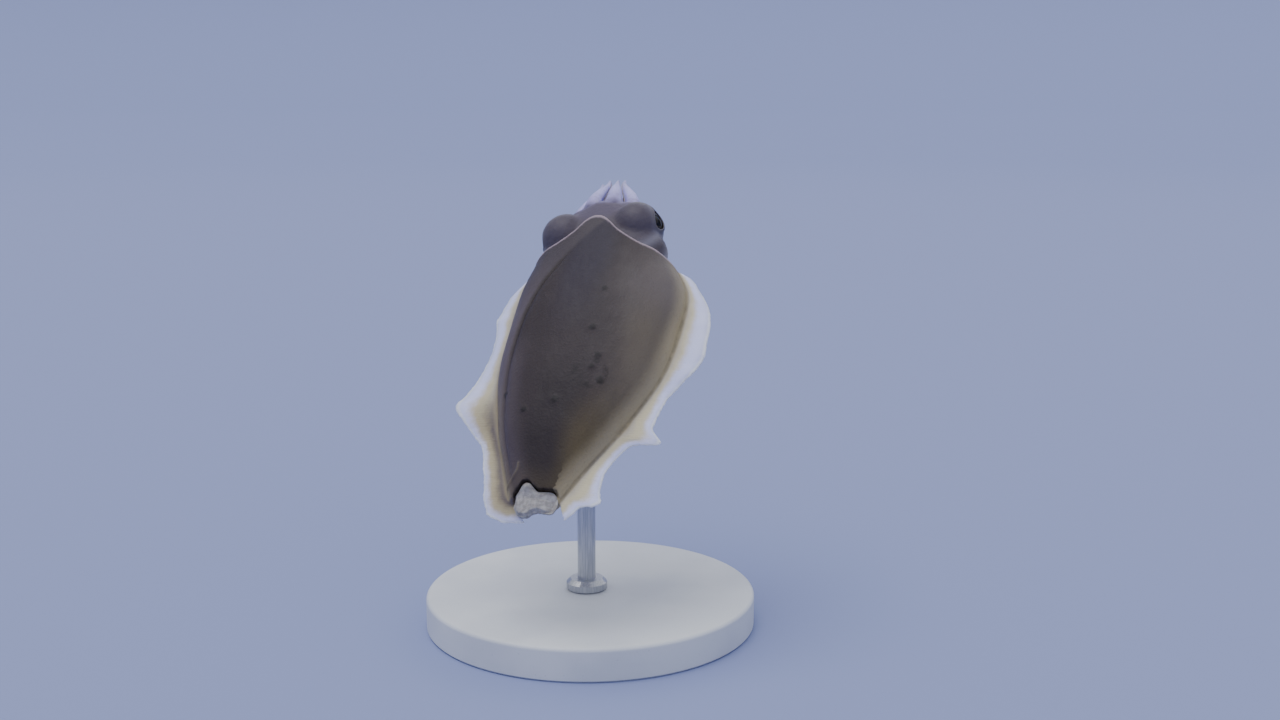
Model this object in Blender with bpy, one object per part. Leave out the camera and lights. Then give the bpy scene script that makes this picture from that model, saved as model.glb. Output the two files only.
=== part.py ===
# A life-size cuttlefish with a worn tail end, swimming head up, held on a small display stand.
#
# The animal is modelled in a body frame: +X towards the head, +Y to its left, +Z to its back, with the
# origin at the rear end of the mantle, level with the roots of the fins. One empty then turns it to its
# swimming attitude over the stand, whose underside is the ground plane.
import math

import bmesh
import bpy
from mathutils import Matrix, Vector
from mathutils.bvhtree import BVHTree

MM = 0.001
GAP = 0.3 * MM

# Attitude of the body over the stand, in degrees, and where its origin sits.
HEADING = 90.0
PITCH = 44.8
ROLL = -3.8
BODY_ORIGIN = Vector((-1.0, -32.0, 38.0)) * MM

# Mantle: its length, where the front edge lies round the body, and its wall at the front edge.
MANTLE_LENGTH = 76.2 * MM
MANTLE_SIDE_EDGE = 65.6 * MM
MANTLE_UNDER_EDGE = 62.5 * MM
MANTLE_WALL = 1.0 * MM
CAVITY_FLOOR = 56.0 * MM
MANTLE_FULLNESS = 2.15
# Distance from the rear end, half width, height above the fins, depth below them, and how far the
# slight bend of the living animal carries that place to the left.
MANTLE_STATIONS = (
    (0.0, 5.9, 3.3, 3.6, 1.0),
    (8.0, 9.7, 5.7, 6.8, 0.8),
    (20.0, 15.5, 8.1, 10.2, -0.2),
    (34.0, 20.2, 9.7, 12.6, -1.4),
    (48.0, 21.4, 10.6, 13.4, -1.9),
    (58.0, 21.2, 10.4, 13.2, -1.7),
    (66.0, 18.4, 10.0, 12.6, -0.4),
    (75.0, 15.5, 9.4, 12.0, 1.3),
)
# How far the front edge of the back reaches, from 1 at its tip to 0 at the side, by share of the half width.
LOBE_STATIONS = ((0.0, 1.0), (0.13, 0.96), (0.35, 0.57), (0.6, 0.3), (0.82, 0.19), (1.0, 0.0))

# The worn hole at the rear end of the back, where the end of the cuttlebone shows.
# Distance to the animal's left, and how far forward the ragged edge of the hole lies there.
HOLE_EDGE = (
    (-5.2, 0.5),
    (-4.9, 1.7),
    (-4.3, 2.1),
    (-2.7, 2.0),
    (-1.5, 1.8),
    (-0.4, 1.9),
    (0.7, 2.6),
    (1.6, 3.4),
    (2.4, 3.6),
    (3.2, 3.3),
    (3.9, 2.5),
    (4.4, 1.9),
    (5.0, 1.6),
    (5.5, 0.4),
)
HOLE_FLOOR = 0.0
# The end of the cuttlebone, from the right to the left: where its front edge and its worn rear edge lie.
BONE_EDGES = (
    (-4.85, 0.6, -2.5),
    (-4.5, 1.4, -3.0),
    (-3.8, 1.65, -3.1),
    (-2.6, 1.5, -2.9),
    (-1.5, 1.3, -2.8),
    (-0.5, 1.2, -2.9),
    (0.3, 1.7, -3.1),
    (0.8, 2.1, -4.2),
    (1.6, 2.85, -4.7),
    (2.4, 3.1, -4.4),
    (3.1, 2.8, -4.1),
    (3.6, 2.1, -3.8),
    (3.9, 1.2, -3.6),
    (4.4, 0.4, -3.2),
    (5.1, -0.6, -2.6),
)
BONE_SINK = 0.7 * MM

# Head: a loft along a spine that droops and turns to the left ahead of the mantle.
SPINE_START = Vector((56.5, -0.5, -0.4)) * MM
SPINE_STEP = 0.25 * MM
# Distance along the spine, droop and turn to the left in degrees.
SPINE_BENDS = (
    (0.0, 0.0, 0.0),
    (6.0, 0.0, 8.0),
    (12.0, 1.0, 10.0),
    (20.0, 9.0, 11.0),
    (28.0, 19.0, 14.0),
    (42.0, 27.0, 17.0),
    (72.0, 30.0, 17.0),
)
HEAD_LENGTH = 27.5 * MM
# Distance along the spine, half width, height above and depth below it.
HEAD_STATIONS = (
    (0.0, 15.0, 7.6, 5.4),
    (5.0, 15.2, 7.9, 5.6),
    (9.0, 15.3, 8.2, 6.0),
    (13.0, 16.2, 8.1, 7.0),
    (16.5, 14.9, 8.3, 7.6),
    (20.0, 12.7, 8.4, 8.0),
    (24.0, 11.5, 8.2, 8.2),
    (27.5, 10.2, 7.7, 8.1),
)
HEAD_FULLNESS = 2.3
CROWN_SCALLOP = 0.9 * MM

# Eyes, placed from the spine: along it, to the side and towards the back, with the way they face.
EYE_PLACE = (19.4 * MM, 10.4 * MM, 3.0 * MM)
EYE_FACING = (0.10, 0.93, 0.36)
EYE_RADIUS = 4.9 * MM
ORBIT_RADIUS = 6.2 * MM
ORBIT_SINK = 0.8 * MM
# The dome behind and above each eye, measured from the eye's centre.
DOME_RADIUS = 6.1 * MM
DOME_SINK = 1.3 * MM
DOME_RISE = 1.4 * MM
BROW_RISE = 0.7 * MM
BROW_SPREAD = 7.0 * MM
WINDOW_RADIUS = 3.6 * MM
LID_RADIUS = 3.8 * MM
LID_HEIGHT = 3.95 * MM
LID_THICKNESS = 0.65 * MM
UPPER_LID_EXTRA = 0.4 * MM

# The mouth's cone, in the middle of the arms.
MOUTH_RADIUS = 3.2 * MM
MOUTH_LENGTH = 3.4 * MM

# Arms: the ring of their roots round the spine, and for each pair from the back to the belly its place
# round that ring in degrees from the back, its length, half width and half thickness at the root.
CROWN_SIDE = 7.7 * MM
CROWN_RISE = 5.8 * MM
ARM_PAIRS = (
    (21.5, 27.5, 2.25, 2.0),
    (65.0, 29.5, 2.2, 2.1),
    (115.0, 31.0, 2.2, 2.15),
    (158.5, 32.0, 2.3, 2.15),
)
ARM_TIP_RADIUS = 0.32 * MM
ARM_RINGS = 13
ARM_SIDES = 10
# Share of an arm's length, share of the root ring's size that is left there.
CROWN_TAPER = ((0.0, 1.0), (0.15, 0.95), (0.35, 0.8), (0.6, 0.6), (0.85, 0.43), (1.0, 0.42))
CROWN_SPREAD = 0.22
SUCKER_PAIRS = 8
SUCKER_SIDES = 6
SUCKER_RADIUS = 0.66 * MM
SUCKER_HEIGHT = 0.48 * MM
SUCKER_LEAN = 27.0

# Funnel: placed below the spine.
# Distance along the spine, drop below it, half width, half height.
FUNNEL_STATIONS = (
    (0.0, 8.5, 12.0, 2.2),
    (5.0, 8.5, 11.0, 2.2),
    (8.0, 9.1, 9.2, 2.3),
    (12.0, 10.6, 5.7, 2.7),
    (16.0, 11.8, 3.8, 2.8),
    (21.0, 12.7, 2.9, 2.6),
)
FUNNEL_WALL = 0.75 * MM
FUNNEL_DEPTH = 4.0 * MM

# Fins. For each station: where its root lies along the mantle, how far the margin stands out,
# how far the margin is lifted, and how far it trails towards the tail.
FIN_ROOT_THICKNESS = 1.5 * MM
FIN_MARGIN_THICKNESS = 0.5 * MM
FIN_LENGTHWISE = 44
FIN_ACROSS = 5
FIN_LEFT = (
    (0.4, -4.4, -1.7, 4.8),
    (1.2, 1.4, -1.3, 5.6),
    (2.6, 4.2, -0.7, 5.2),
    (4.8, 4.6, 0.2, 3.0),
    (9.5, 4.6, 0.6, 1.6),
    (14.5, 4.8, -0.5, 0.8),
    (18.0, 6.6, -1.0, 0.8),
    (21.5, 9.4, -0.5, 0.4),
    (25.0, 11.4, 0.0, 0.0),
    (28.0, 9.0, -0.4, -0.6),
    (33.0, 6.8, -1.3, -0.4),
    (39.0, 5.2, -1.7, -0.6),
    (45.0, 4.6, -1.0, -0.6),
    (50.0, 5.6, -0.8, -0.4),
    (56.0, 5.0, -1.8, -0.4),
    (61.5, 3.4, -1.4, 0.0),
    (65.0, 1.0, -0.2, 0.0),
)
FIN_RIGHT = (
    (0.4, 2.0, -0.4, 4.4),
    (2.0, 4.6, 0.0, 2.8),
    (4.2, 7.6, 0.3, 3.8),
    (7.2, 5.4, 0.4, 2.6),
    (10.8, 3.8, 0.1, 1.6),
    (14.4, 3.4, -0.5, 1.0),
    (17.0, 4.6, -0.4, 1.0),
    (20.0, 9.6, 0.4, 3.6),
    (23.0, 5.6, 0.5, 2.9),
    (26.5, 4.5, 0.2, 1.7),
    (30.5, 4.1, -0.5, 0.9),
    (34.0, 5.2, -0.5, 0.8),
    (38.0, 7.3, 0.0, 1.0),
    (42.5, 8.0, 0.5, 1.2),
    (50.0, 7.2, 0.5, 1.4),
    (56.0, 5.6, -0.3, 1.2),
    (60.5, 3.8, -0.2, 0.9),
    (63.5, 3.0, 0.0, 0.4),
    (65.2, 0.9, 0.0, 0.0),
)

# Stand: a round base and one rod that ends in a pad under the mantle.
BASE_RADIUS = 40.0 * MM
BASE_HEIGHT = 8.0 * MM
BASE_BEVEL = 1.0 * MM
ROD_RADIUS = 2.2 * MM
ROD_FOOT_RADIUS = 5.0 * MM
ROD_FOOT_HEIGHT = 2.5 * MM
PAD_RADIUS = 4.0 * MM
PAD_HEIGHT = 3.0 * MM
ROD_UNDER = 45.0 * MM


def slope(stations, i, column):
    """Slope of the smooth curve through the stations at station i."""
    low = max(i - 1, 0)
    high = min(i + 1, len(stations) - 1)
    return (stations[high][column] - stations[low][column]) / (stations[high][0] - stations[low][0])


def spline(stations, x):
    """Values at x on a smooth curve through the stations, each (x, value, value...)."""
    x = min(max(x, stations[0][0]), stations[-1][0])
    i = next(k for k in range(len(stations) - 1) if x <= stations[k + 1][0])
    step = stations[i + 1][0] - stations[i][0]
    t = (x - stations[i][0]) / step
    values = []
    for column in range(1, len(stations[0])):
        start = stations[i][column]
        end = stations[i + 1][column]
        leave = slope(stations, i, column) * step
        arrive = slope(stations, i + 1, column) * step
        values.append(
            start * (2 * t**3 - 3 * t**2 + 1)
            + leave * (t**3 - 2 * t**2 + t)
            + end * (3 * t**2 - 2 * t**3)
            + arrive * (t**3 - t**2)
        )
    return values


def sizes_at(stations, place):
    """The sizes in metres at a place in metres, from stations written in millimetres."""
    return [value * MM for value in spline(stations, place / MM)]


def rounded(angle, fullness):
    """A point of the unit superellipse: squarer as fullness rises above 2."""
    side = math.copysign(abs(math.cos(angle)) ** (2 / fullness), math.cos(angle))
    up = math.copysign(abs(math.sin(angle)) ** (2 / fullness), math.sin(angle))
    return side, up


def new_mesh(name, points, faces):
    """A mesh from points and faces, with its doubles merged and its faces turned outwards."""
    mesh = bpy.data.meshes.new(name)
    mesh.from_pydata([tuple(p) for p in points], [], faces)
    work = bmesh.new()
    work.from_mesh(mesh)
    bmesh.ops.remove_doubles(work, verts=work.verts, dist=0.002 * MM)
    bmesh.ops.recalc_face_normals(work, faces=work.faces)
    work.to_mesh(mesh)
    work.free()
    return mesh


def loft(name, rings):
    """A closed mesh through rings of equal count, with a flat face over the first and the last."""
    sides = len(rings[0])
    points = [p for ring in rings for p in ring]
    faces = [tuple(range(sides)), tuple(range(len(points) - sides, len(points)))]
    for r in range(len(rings) - 1):
        for j in range(sides):
            k = (j + 1) % sides
            faces.append((r * sides + j, r * sides + k, (r + 1) * sides + k, (r + 1) * sides + j))
    return new_mesh(name, points, faces)


def slab(name, upper, lower):
    """A closed mesh between two grids of points alike in size, split into triangles alike on both."""
    rows = len(upper)
    columns = len(upper[0])
    points = [p for row in upper for p in row] + [p for row in lower for p in row]
    under = rows * columns
    faces = []
    for i in range(rows - 1):
        for j in range(columns - 1):
            a = i * columns + j
            for corner in ((a, a + 1, a + columns + 1), (a, a + columns + 1, a + columns)):
                faces.append(corner)
                faces.append(tuple(under + v for v in reversed(corner)))
    rim = [j for j in range(columns)]
    rim += [i * columns + columns - 1 for i in range(1, rows)]
    rim += [(rows - 1) * columns + j for j in range(columns - 2, -1, -1)]
    rim += [i * columns for i in range(rows - 2, 0, -1)]
    for k, v in enumerate(rim):
        w = rim[(k + 1) % len(rim)]
        faces.append((v, w, under + w))
        faces.append((v, under + w, under + v))
    return new_mesh(name, points, faces)


def material(name, colour, roughness):
    """A Principled material of one colour."""
    made = bpy.data.materials.new(name)
    made.use_nodes = True
    shader = made.node_tree.nodes["Principled BSDF"]
    shader.inputs["Base Color"].default_value = (*colour, 1.0)
    shader.inputs["Roughness"].default_value = roughness
    shader.inputs["Metallic"].default_value = 0.0
    return made


def add_node(mesh, finish, parent=None):
    """Puts a mesh in the scene as a named object of the model."""
    made = bpy.data.objects.new(mesh.name, mesh)
    bpy.context.scene.collection.objects.link(made)
    mesh.materials.clear()
    mesh.materials.append(finish)
    mesh.shade_smooth()
    mesh.set_sharp_from_angle(angle=math.radians(40))
    made.parent = parent
    return made


def largest_surface(mesh):
    """Keeps the part of a mesh that encloses the most, and drops loose scraps."""
    work = bmesh.new()
    work.from_mesh(mesh)
    unseen = set(work.faces)
    groups = []
    while unseen:
        group = set()
        edge_of_group = {unseen.pop()}
        while edge_of_group:
            group |= edge_of_group
            near = {other for face in edge_of_group for edge in face.edges for other in edge.link_faces}
            edge_of_group = near - group
        unseen -= group
        groups.append(group)

    def enclosed(group):
        total = 0.0
        for face in group:
            corners = [v.co for v in face.verts]
            for b, c in zip(corners[1:], corners[2:]):
                total += corners[0].dot(b.cross(c))
        return total

    keep = max(groups, key=enclosed)
    bmesh.ops.delete(work, geom=[f for f in work.faces if f not in keep], context="FACES")
    work.to_mesh(mesh)
    work.free()


def combine(base, others, operation):
    """Joins or cuts a mesh object with a collection of closed mesh objects, which are then removed."""
    group = bpy.data.collections.new("pieces")
    bpy.context.scene.collection.children.link(group)
    for mesh in others:
        group.objects.link(bpy.data.objects.new(mesh.name, mesh))
    change = base.modifiers.new("combine", "BOOLEAN")
    change.operation = operation
    change.operand_type = "COLLECTION"
    change.collection = group
    change.solver = "EXACT"
    graph = bpy.context.evaluated_depsgraph_get()
    made = bpy.data.meshes.new_from_object(base.evaluated_get(graph))
    made.name = base.name
    base.modifiers.clear()
    base.data = made
    for piece in list(group.objects):
        bpy.data.objects.remove(piece)
    bpy.data.collections.remove(group)
    largest_surface(base.data)
    base.data.set_sharp_from_angle(angle=math.radians(40))


def mantle_point(x, angle, inset=0.0):
    """A point of the mantle's surface, or of one that lies an inset inside it."""
    half_width, height, depth, shift = sizes_at(MANTLE_STATIONS, x)
    side, up = rounded(angle, MANTLE_FULLNESS)
    rise = (height if up > 0 else depth) - inset
    return Vector((x, shift + (half_width - inset) * side, rise * up))


def mantle_side(x, side):
    """The point where a fin's root meets the mantle."""
    return mantle_point(x, 0.0 if side > 0 else math.pi)


def mantle_edge(angle):
    """Where the front edge of the mantle lies along the body at an angle round it."""
    side, up = rounded(angle, MANTLE_FULLNESS)
    if up < 0:
        return MANTLE_SIDE_EDGE + (MANTLE_UNDER_EDGE - MANTLE_SIDE_EDGE) * (-up) ** 1.5
    return MANTLE_SIDE_EDGE + (MANTLE_LENGTH - MANTLE_SIDE_EDGE) * spline(LOBE_STATIONS, abs(side))[0]


def mantle_mesh():
    """The sac from its rear end to its front edge, with a shallow cavity that takes head and funnel."""
    sides = 36
    levels = 22
    angles = [2 * math.pi * j / sides for j in range(sides)]
    rings = []
    for share, back in ((0.45, 1.25), (0.8, 0.8)):
        rings.append([mantle_point(0.0, a) * share - Vector((back * MM, 0, 0)) for a in angles])
    for i in range(levels):
        along = i / (levels - 1)
        along = along + 0.06 * math.sin(2 * math.pi * along)
        rings.append([mantle_point(mantle_edge(a) * along, a) for a in angles])
    rings.append([mantle_point(mantle_edge(a) + 0.25 * MM, a, 0.45 * MM) for a in angles])
    rings.append([mantle_point(mantle_edge(a) - 0.1 * MM, a, 0.95 * MM) for a in angles])
    for along in (0.55, 0.0):
        ring = []
        for a in angles:
            x = CAVITY_FLOOR + (mantle_edge(a) - CAVITY_FLOOR) * along
            ring.append(mantle_point(x, a, MANTLE_WALL))
        rings.append(ring)
    return loft("mantle", rings)


def hole_cutter():
    """The ragged hole in the back of the rear end."""
    rear = -6.0 * MM
    top = 12.0 * MM
    upper = [[Vector((x, y * MM, top)) for x in (rear, edge * MM)] for y, edge in HOLE_EDGE]
    lower = [[Vector((p.x, p.y, HOLE_FLOOR)) for p in row] for row in upper]
    return slab("hole", upper, lower)


def bone_mesh():
    """The end of the cuttlebone, which fills the hole and stands out behind it."""
    columns = 6
    upper = []
    lower = []
    for y, front, rear in BONE_EDGES:
        y *= MM
        front *= MM
        rear *= MM
        top_row = []
        low_row = []
        for i in range(columns):
            x = rear + (front - rear) * i / (columns - 1)
            half_width, height, _, shift = sizes_at(MANTLE_STATIONS, max(x, 0.0))
            crown = height * math.sqrt(max(1 - ((y - shift) / half_width) ** 2, 0.1)) - BONE_SINK
            wear = 0.5 * MM * (1 - i / (columns - 1)) ** 2
            top_row.append(Vector((x, y, crown - wear)))
            low_row.append(Vector((x, y, HOLE_FLOOR + GAP + wear * 0.4)))
        upper.append(top_row)
        lower.append(low_row)
    return slab("cuttlebone_end", upper, lower)


def spine_samples():
    """Points along the head's spine at equal steps, followed from its start in the mantle."""
    points = [SPINE_START.copy()]
    for i in range(int(75 * MM / SPINE_STEP)):
        points.append(points[-1] + spine_direction((i + 0.5) * SPINE_STEP) * SPINE_STEP)
    return points


def spine_direction(s):
    """The way the spine runs at a distance s along it."""
    droop, turn = (math.radians(v) for v in spline(SPINE_BENDS, s / MM))
    return Vector((math.cos(droop) * math.cos(turn), math.cos(droop) * math.sin(turn), -math.sin(droop)))


SPINE_POINTS = spine_samples()


def by_spine(s, left, up):
    """The point at a distance s along the spine, moved to its left and towards its back."""
    place = s / SPINE_STEP
    i = min(int(place), len(SPINE_POINTS) - 2)
    origin = SPINE_POINTS[i].lerp(SPINE_POINTS[i + 1], place - i)
    along, to_left, to_back = spine_axes(s)
    return origin + to_left * left + to_back * up


def spine_axes(s):
    """The spine's own axes at s: along it, to its left and towards its back."""
    along = spine_direction(s)
    to_left = Vector((0, 0, 1)).cross(along).normalized()
    return along, to_left, along.cross(to_left)


def eye_centre(side):
    """The centre of an eyeball, with side 1 for the left eye and -1 for the right."""
    s, out, up = EYE_PLACE
    return by_spine(s, side * out, up)


def eye_facing(side):
    """The way an eye looks."""
    along, to_left, to_back = spine_axes(EYE_PLACE[0])
    forward, out, up = EYE_FACING
    return (along * forward + to_left * side * out + to_back * up).normalized()


def dome_centre(side):
    """The centre of the dome of an eye, sunk behind the eyeball and raised towards the back."""
    to_back = spine_axes(EYE_PLACE[0])[2]
    return eye_centre(side) - eye_facing(side) * DOME_SINK + to_back * DOME_RISE


def head_mesh():
    """The head from the neck inside the mantle to the flat face that the arms grow from."""
    sides = 32
    rings = []
    middle = by_spine(EYE_PLACE[0], 0, 0)
    steps = 16
    for i in range(steps):
        s = HEAD_LENGTH * i / (steps - 1)
        half_width, height, depth = sizes_at(HEAD_STATIONS, s)
        scallop = CROWN_SCALLOP * max(0.0, 1 - (HEAD_LENGTH - s) / (6 * MM))
        ring = []
        for j in range(sides):
            angle = 2 * math.pi * j / sides
            side, up = rounded(angle, HEAD_FULLNESS)
            point = by_spine(s, half_width * side, (height if up > 0 else depth) * up)
            inwards = (by_spine(s, 0, 0) - point).normalized()
            point += inwards * scallop * (0.5 - 0.5 * math.cos(8 * angle))
            for eye in (1, -1):
                target = eye_centre(eye) + eye_facing(eye) * EYE_RADIUS
                reach = (point - target).length / BROW_SPREAD
                outwards = (target - middle).normalized()
                point += outwards * BROW_RISE * math.exp(-reach * reach)
            ring.append(point)
        rings.append(ring)
    return loft("head", rings)


def lid_mesh(side):
    """The ring of skin round an eye, thicker above it."""
    around = 20
    sides = 6
    facing = eye_facing(side)
    up = (spine_axes(EYE_PLACE[0])[2] - facing * spine_axes(EYE_PLACE[0])[2].dot(facing)).normalized()
    across = facing.cross(up)
    centre = eye_centre(side) + facing * LID_HEIGHT
    points = []
    faces = []
    for i in range(around):
        turn = 2 * math.pi * i / around
        out = across * math.cos(turn) + up * math.sin(turn)
        thick = LID_THICKNESS + UPPER_LID_EXTRA * max(0.0, math.sin(turn))
        for j in range(sides):
            roll = 2 * math.pi * j / sides
            points.append(centre + out * (LID_RADIUS + thick * math.cos(roll)) + facing * thick * math.sin(roll))
            a = i * sides + j
            b = i * sides + (j + 1) % sides
            c = ((i + 1) % around) * sides + (j + 1) % sides
            d = ((i + 1) % around) * sides + j
            faces.append((a, b, c, d))
    return new_mesh("lid", points, faces)


def window_mesh(side):
    """The cutter that opens the skin in front of an eye."""
    facing = eye_facing(side)
    across = facing.orthogonal().normalized()
    aside = facing.cross(across)
    rings = []
    for out in (1.0 * MM, 9.0 * MM):
        centre = eye_centre(side) + facing * out
        turns = [2 * math.pi * j / 20 for j in range(20)]
        rings.append([centre + (across * math.cos(t) + aside * math.sin(t)) * WINDOW_RADIUS for t in turns])
    return loft("window", rings)


def ball(name, centre, radius, segments=24, rings=14):
    """A sphere."""
    mesh = bpy.data.meshes.new(name)
    work = bmesh.new()
    bmesh.ops.create_uvsphere(work, u_segments=segments, v_segments=rings, radius=radius)
    bmesh.ops.translate(work, verts=work.verts, vec=centre)
    work.to_mesh(mesh)
    work.free()
    return mesh


def mouth_mesh():
    """The soft cone round the mouth, on the front face of the head."""
    rings = []
    for forward, share in ((-2.0 * MM, 1.0), (0.0, 1.0), (MOUTH_LENGTH * 0.6, 0.8), (MOUTH_LENGTH, 0.35)):
        ring = []
        for j in range(14):
            angle = 2 * math.pi * j / 14
            radius = MOUTH_RADIUS * share
            ring.append(by_spine(HEAD_LENGTH + forward, radius * math.cos(angle), radius * math.sin(angle)))
        rings.append(ring)
    return loft("mouth", rings)


def arm_frame(pair, side, share):
    """An arm's own centre, outward and sideways axes and half sizes, at a share of its length."""
    place, length, half_width, half_thick = pair
    turn = math.radians(place)
    s = HEAD_LENGTH + GAP + length * MM * share
    spread = CROWN_SPREAD * math.sin(2.4 * place + 1.7 * side) * share * share
    taper = spline(CROWN_TAPER, share)[0] + spread
    centre = by_spine(s, side * CROWN_SIDE * taper * math.sin(turn), CROWN_RISE * taper * math.cos(turn))
    _, to_left, to_back = spine_axes(s)
    outward = (to_left * side * math.sin(turn) + to_back * math.cos(turn)).normalized()
    sideways = spine_direction(s).cross(outward)
    narrowing = (1 - share) ** 0.85
    width = ARM_TIP_RADIUS + (half_width * MM - ARM_TIP_RADIUS) * narrowing
    thick = ARM_TIP_RADIUS + (half_thick * MM - ARM_TIP_RADIUS) * narrowing
    return centre, outward, sideways, width, thick


def arm_mesh(name, pair, side):
    """One arm as a tapering tube with a rounded tip."""
    rings = []
    for i in range(ARM_RINGS):
        share = i / (ARM_RINGS - 1)
        centre, outward, sideways, width, thick = arm_frame(pair, side, share)
        ring = []
        for j in range(ARM_SIDES):
            angle = 2 * math.pi * j / ARM_SIDES
            ring.append(centre + outward * thick * math.sin(angle) + sideways * width * math.cos(angle))
        rings.append(ring)
    return loft(name, rings)


def sucker_mesh(pair, side):
    """The two rows of suckers on the inner face of an arm, out to its tip."""
    points = []
    faces = []
    for i in range(SUCKER_PAIRS * 2):
        share = 0.06 + 0.88 * (i / (SUCKER_PAIRS * 2 - 1)) ** 1.12
        centre, outward, sideways, width, thick = arm_frame(pair, side, share)
        row = 1 if i % 2 else -1
        lean = math.radians(SUCKER_LEAN) * row
        normal = -outward * math.cos(lean) + sideways * math.sin(lean)
        across = sideways * math.cos(lean) + outward * math.sin(lean)
        forward = normal.cross(across)
        size = width / (pair[2] * MM)
        radius = SUCKER_RADIUS * (0.3 + 0.7 * size)
        height = SUCKER_HEIGHT * (0.4 + 0.6 * size)
        root = centre - outward * thick * math.cos(lean) + sideways * width * math.sin(lean)
        start = len(points)
        for out, lift in ((0.7, -1.1), (1.0, 1.0), (0.6, 1.0)):
            for j in range(SUCKER_SIDES):
                angle = 2 * math.pi * j / SUCKER_SIDES
                rim = across * math.cos(angle) + forward * math.sin(angle)
                points.append(root + rim * radius * out + normal * height * lift)
        points.append(root + normal * height * 0.45)
        faces.append(tuple(start + j for j in range(SUCKER_SIDES)))
        for j in range(SUCKER_SIDES):
            k = (j + 1) % SUCKER_SIDES
            for ring in (0, 1):
                low = start + ring * SUCKER_SIDES
                high = low + SUCKER_SIDES
                faces.append((low + j, low + k, high + k, high + j))
            cup = start + 2 * SUCKER_SIDES
            faces.append((cup + j, cup + k, len(points) - 1))
    return new_mesh("suckers", points, faces)


def funnel_mesh():
    """The funnel under the head, open at its front end."""
    sides = 16
    last = FUNNEL_STATIONS[-1][0] * MM
    rings = []

    def ring(s, inset):
        drop, half_width, half_height = sizes_at(FUNNEL_STATIONS, s)
        made = []
        for j in range(sides):
            angle = 2 * math.pi * j / sides
            left = (half_width - inset) * math.cos(angle)
            made.append(by_spine(s, left, (half_height - inset) * math.sin(angle) - drop))
        return made

    for i in range(9):
        rings.append(ring(last * i / 8, 0.0))
    rings.append(ring(last, FUNNEL_WALL))
    rings.append(ring(last - FUNNEL_DEPTH, FUNNEL_WALL * 1.1))
    return loft("funnel", rings)


def fin_mesh(name, stations, side):
    """A ruffled fin along one side of the mantle."""
    first = stations[0][0] * MM
    last = stations[-1][0] * MM
    upper = []
    lower = []
    for i in range(FIN_LENGTHWISE):
        x = first + (last - first) * (i / (FIN_LENGTHWISE - 1)) ** 1.25
        width, lift, trail = sizes_at(stations, x)
        ahead = mantle_side(x + MM, side)
        behind = mantle_side(max(x - MM, 0.0), side)
        outward = Vector((0, 0, side)).cross(ahead - behind).normalized()
        root = mantle_side(x, side) + outward * GAP
        top_row = []
        low_row = []
        for j in range(FIN_ACROSS):
            out = j / (FIN_ACROSS - 1)
            point = root + Vector((-trail * out, side * width * out, lift * out * (0.4 + 0.6 * out)))
            thick = FIN_ROOT_THICKNESS + (FIN_MARGIN_THICKNESS - FIN_ROOT_THICKNESS) * out
            top_row.append(point + Vector((0, 0, thick / 2)))
            low_row.append(point - Vector((0, 0, thick / 2)))
        upper.append(top_row)
        lower.append(low_row)
    return slab(name, upper, lower)


def turned(name, profile, sides=48):
    """A closed solid turned about +Z from its profile of (radius, height) points."""
    rings = []
    for radius, height in profile:
        ring = []
        for j in range(sides):
            angle = 2 * math.pi * j / sides
            ring.append(Vector((radius * math.cos(angle), radius * math.sin(angle), height)))
        rings.append(ring)
    return loft(name, rings)


def base_mesh():
    """The stand's round base, with its edges eased."""
    profile = (
        (BASE_RADIUS - BASE_BEVEL / 2, 0),
        (BASE_RADIUS, BASE_BEVEL / 2),
        (BASE_RADIUS, BASE_HEIGHT - BASE_BEVEL),
        (BASE_RADIUS - BASE_BEVEL, BASE_HEIGHT),
    )
    return turned("stand_base", profile)


def rod_mesh(surface, place):
    """The rod from the base to the underside of the mantle, where its pad takes the mantle's shape."""
    sides = 24
    bottom = BASE_HEIGHT + GAP
    rings = []

    def ring(radius, height):
        return [
            Vector((place.x + radius * math.cos(a), place.y + radius * math.sin(a), height))
            for a in (2 * math.pi * j / sides for j in range(sides))
        ]

    def under_mantle(point):
        hit = surface.ray_cast(Vector((point.x, point.y, bottom)), Vector((0, 0, 1)))[0]
        return Vector((point.x, point.y, hit.z - GAP * 1.5))

    pad = [under_mantle(p) for p in ring(PAD_RADIUS, 0)]
    lowest = min(p.z for p in pad)
    rings.append(ring(ROD_FOOT_RADIUS, bottom))
    rings.append(ring(ROD_FOOT_RADIUS, bottom + ROD_FOOT_HEIGHT * 0.6))
    rings.append(ring(ROD_FOOT_RADIUS * 0.8, bottom + ROD_FOOT_HEIGHT))
    rings.append(ring(ROD_RADIUS, bottom + ROD_FOOT_HEIGHT))
    rings.append(ring(ROD_RADIUS, lowest - PAD_HEIGHT))
    rings.append([p - Vector((0, 0, PAD_HEIGHT * 0.45)) for p in pad])
    rings.append(pad)
    middle = under_mantle(place)
    points = [p for ring_points in rings for p in ring_points] + [middle]
    faces = [tuple(range(sides))]
    for r in range(len(rings) - 1):
        for j in range(sides):
            k = (j + 1) % sides
            faces.append((r * sides + j, r * sides + k, (r + 1) * sides + k, (r + 1) * sides + j))
    top = (len(rings) - 1) * sides
    for j in range(sides):
        faces.append((top + j, top + (j + 1) % sides, len(points) - 1))
    return new_mesh("stand_rod", points, faces)


def world_surface(node):
    """A mesh object's surface in world space, for rays."""
    points = [node.matrix_world @ v.co for v in node.data.vertices]
    return BVHTree.FromPolygons(points, [tuple(p.vertices) for p in node.data.polygons])


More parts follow.
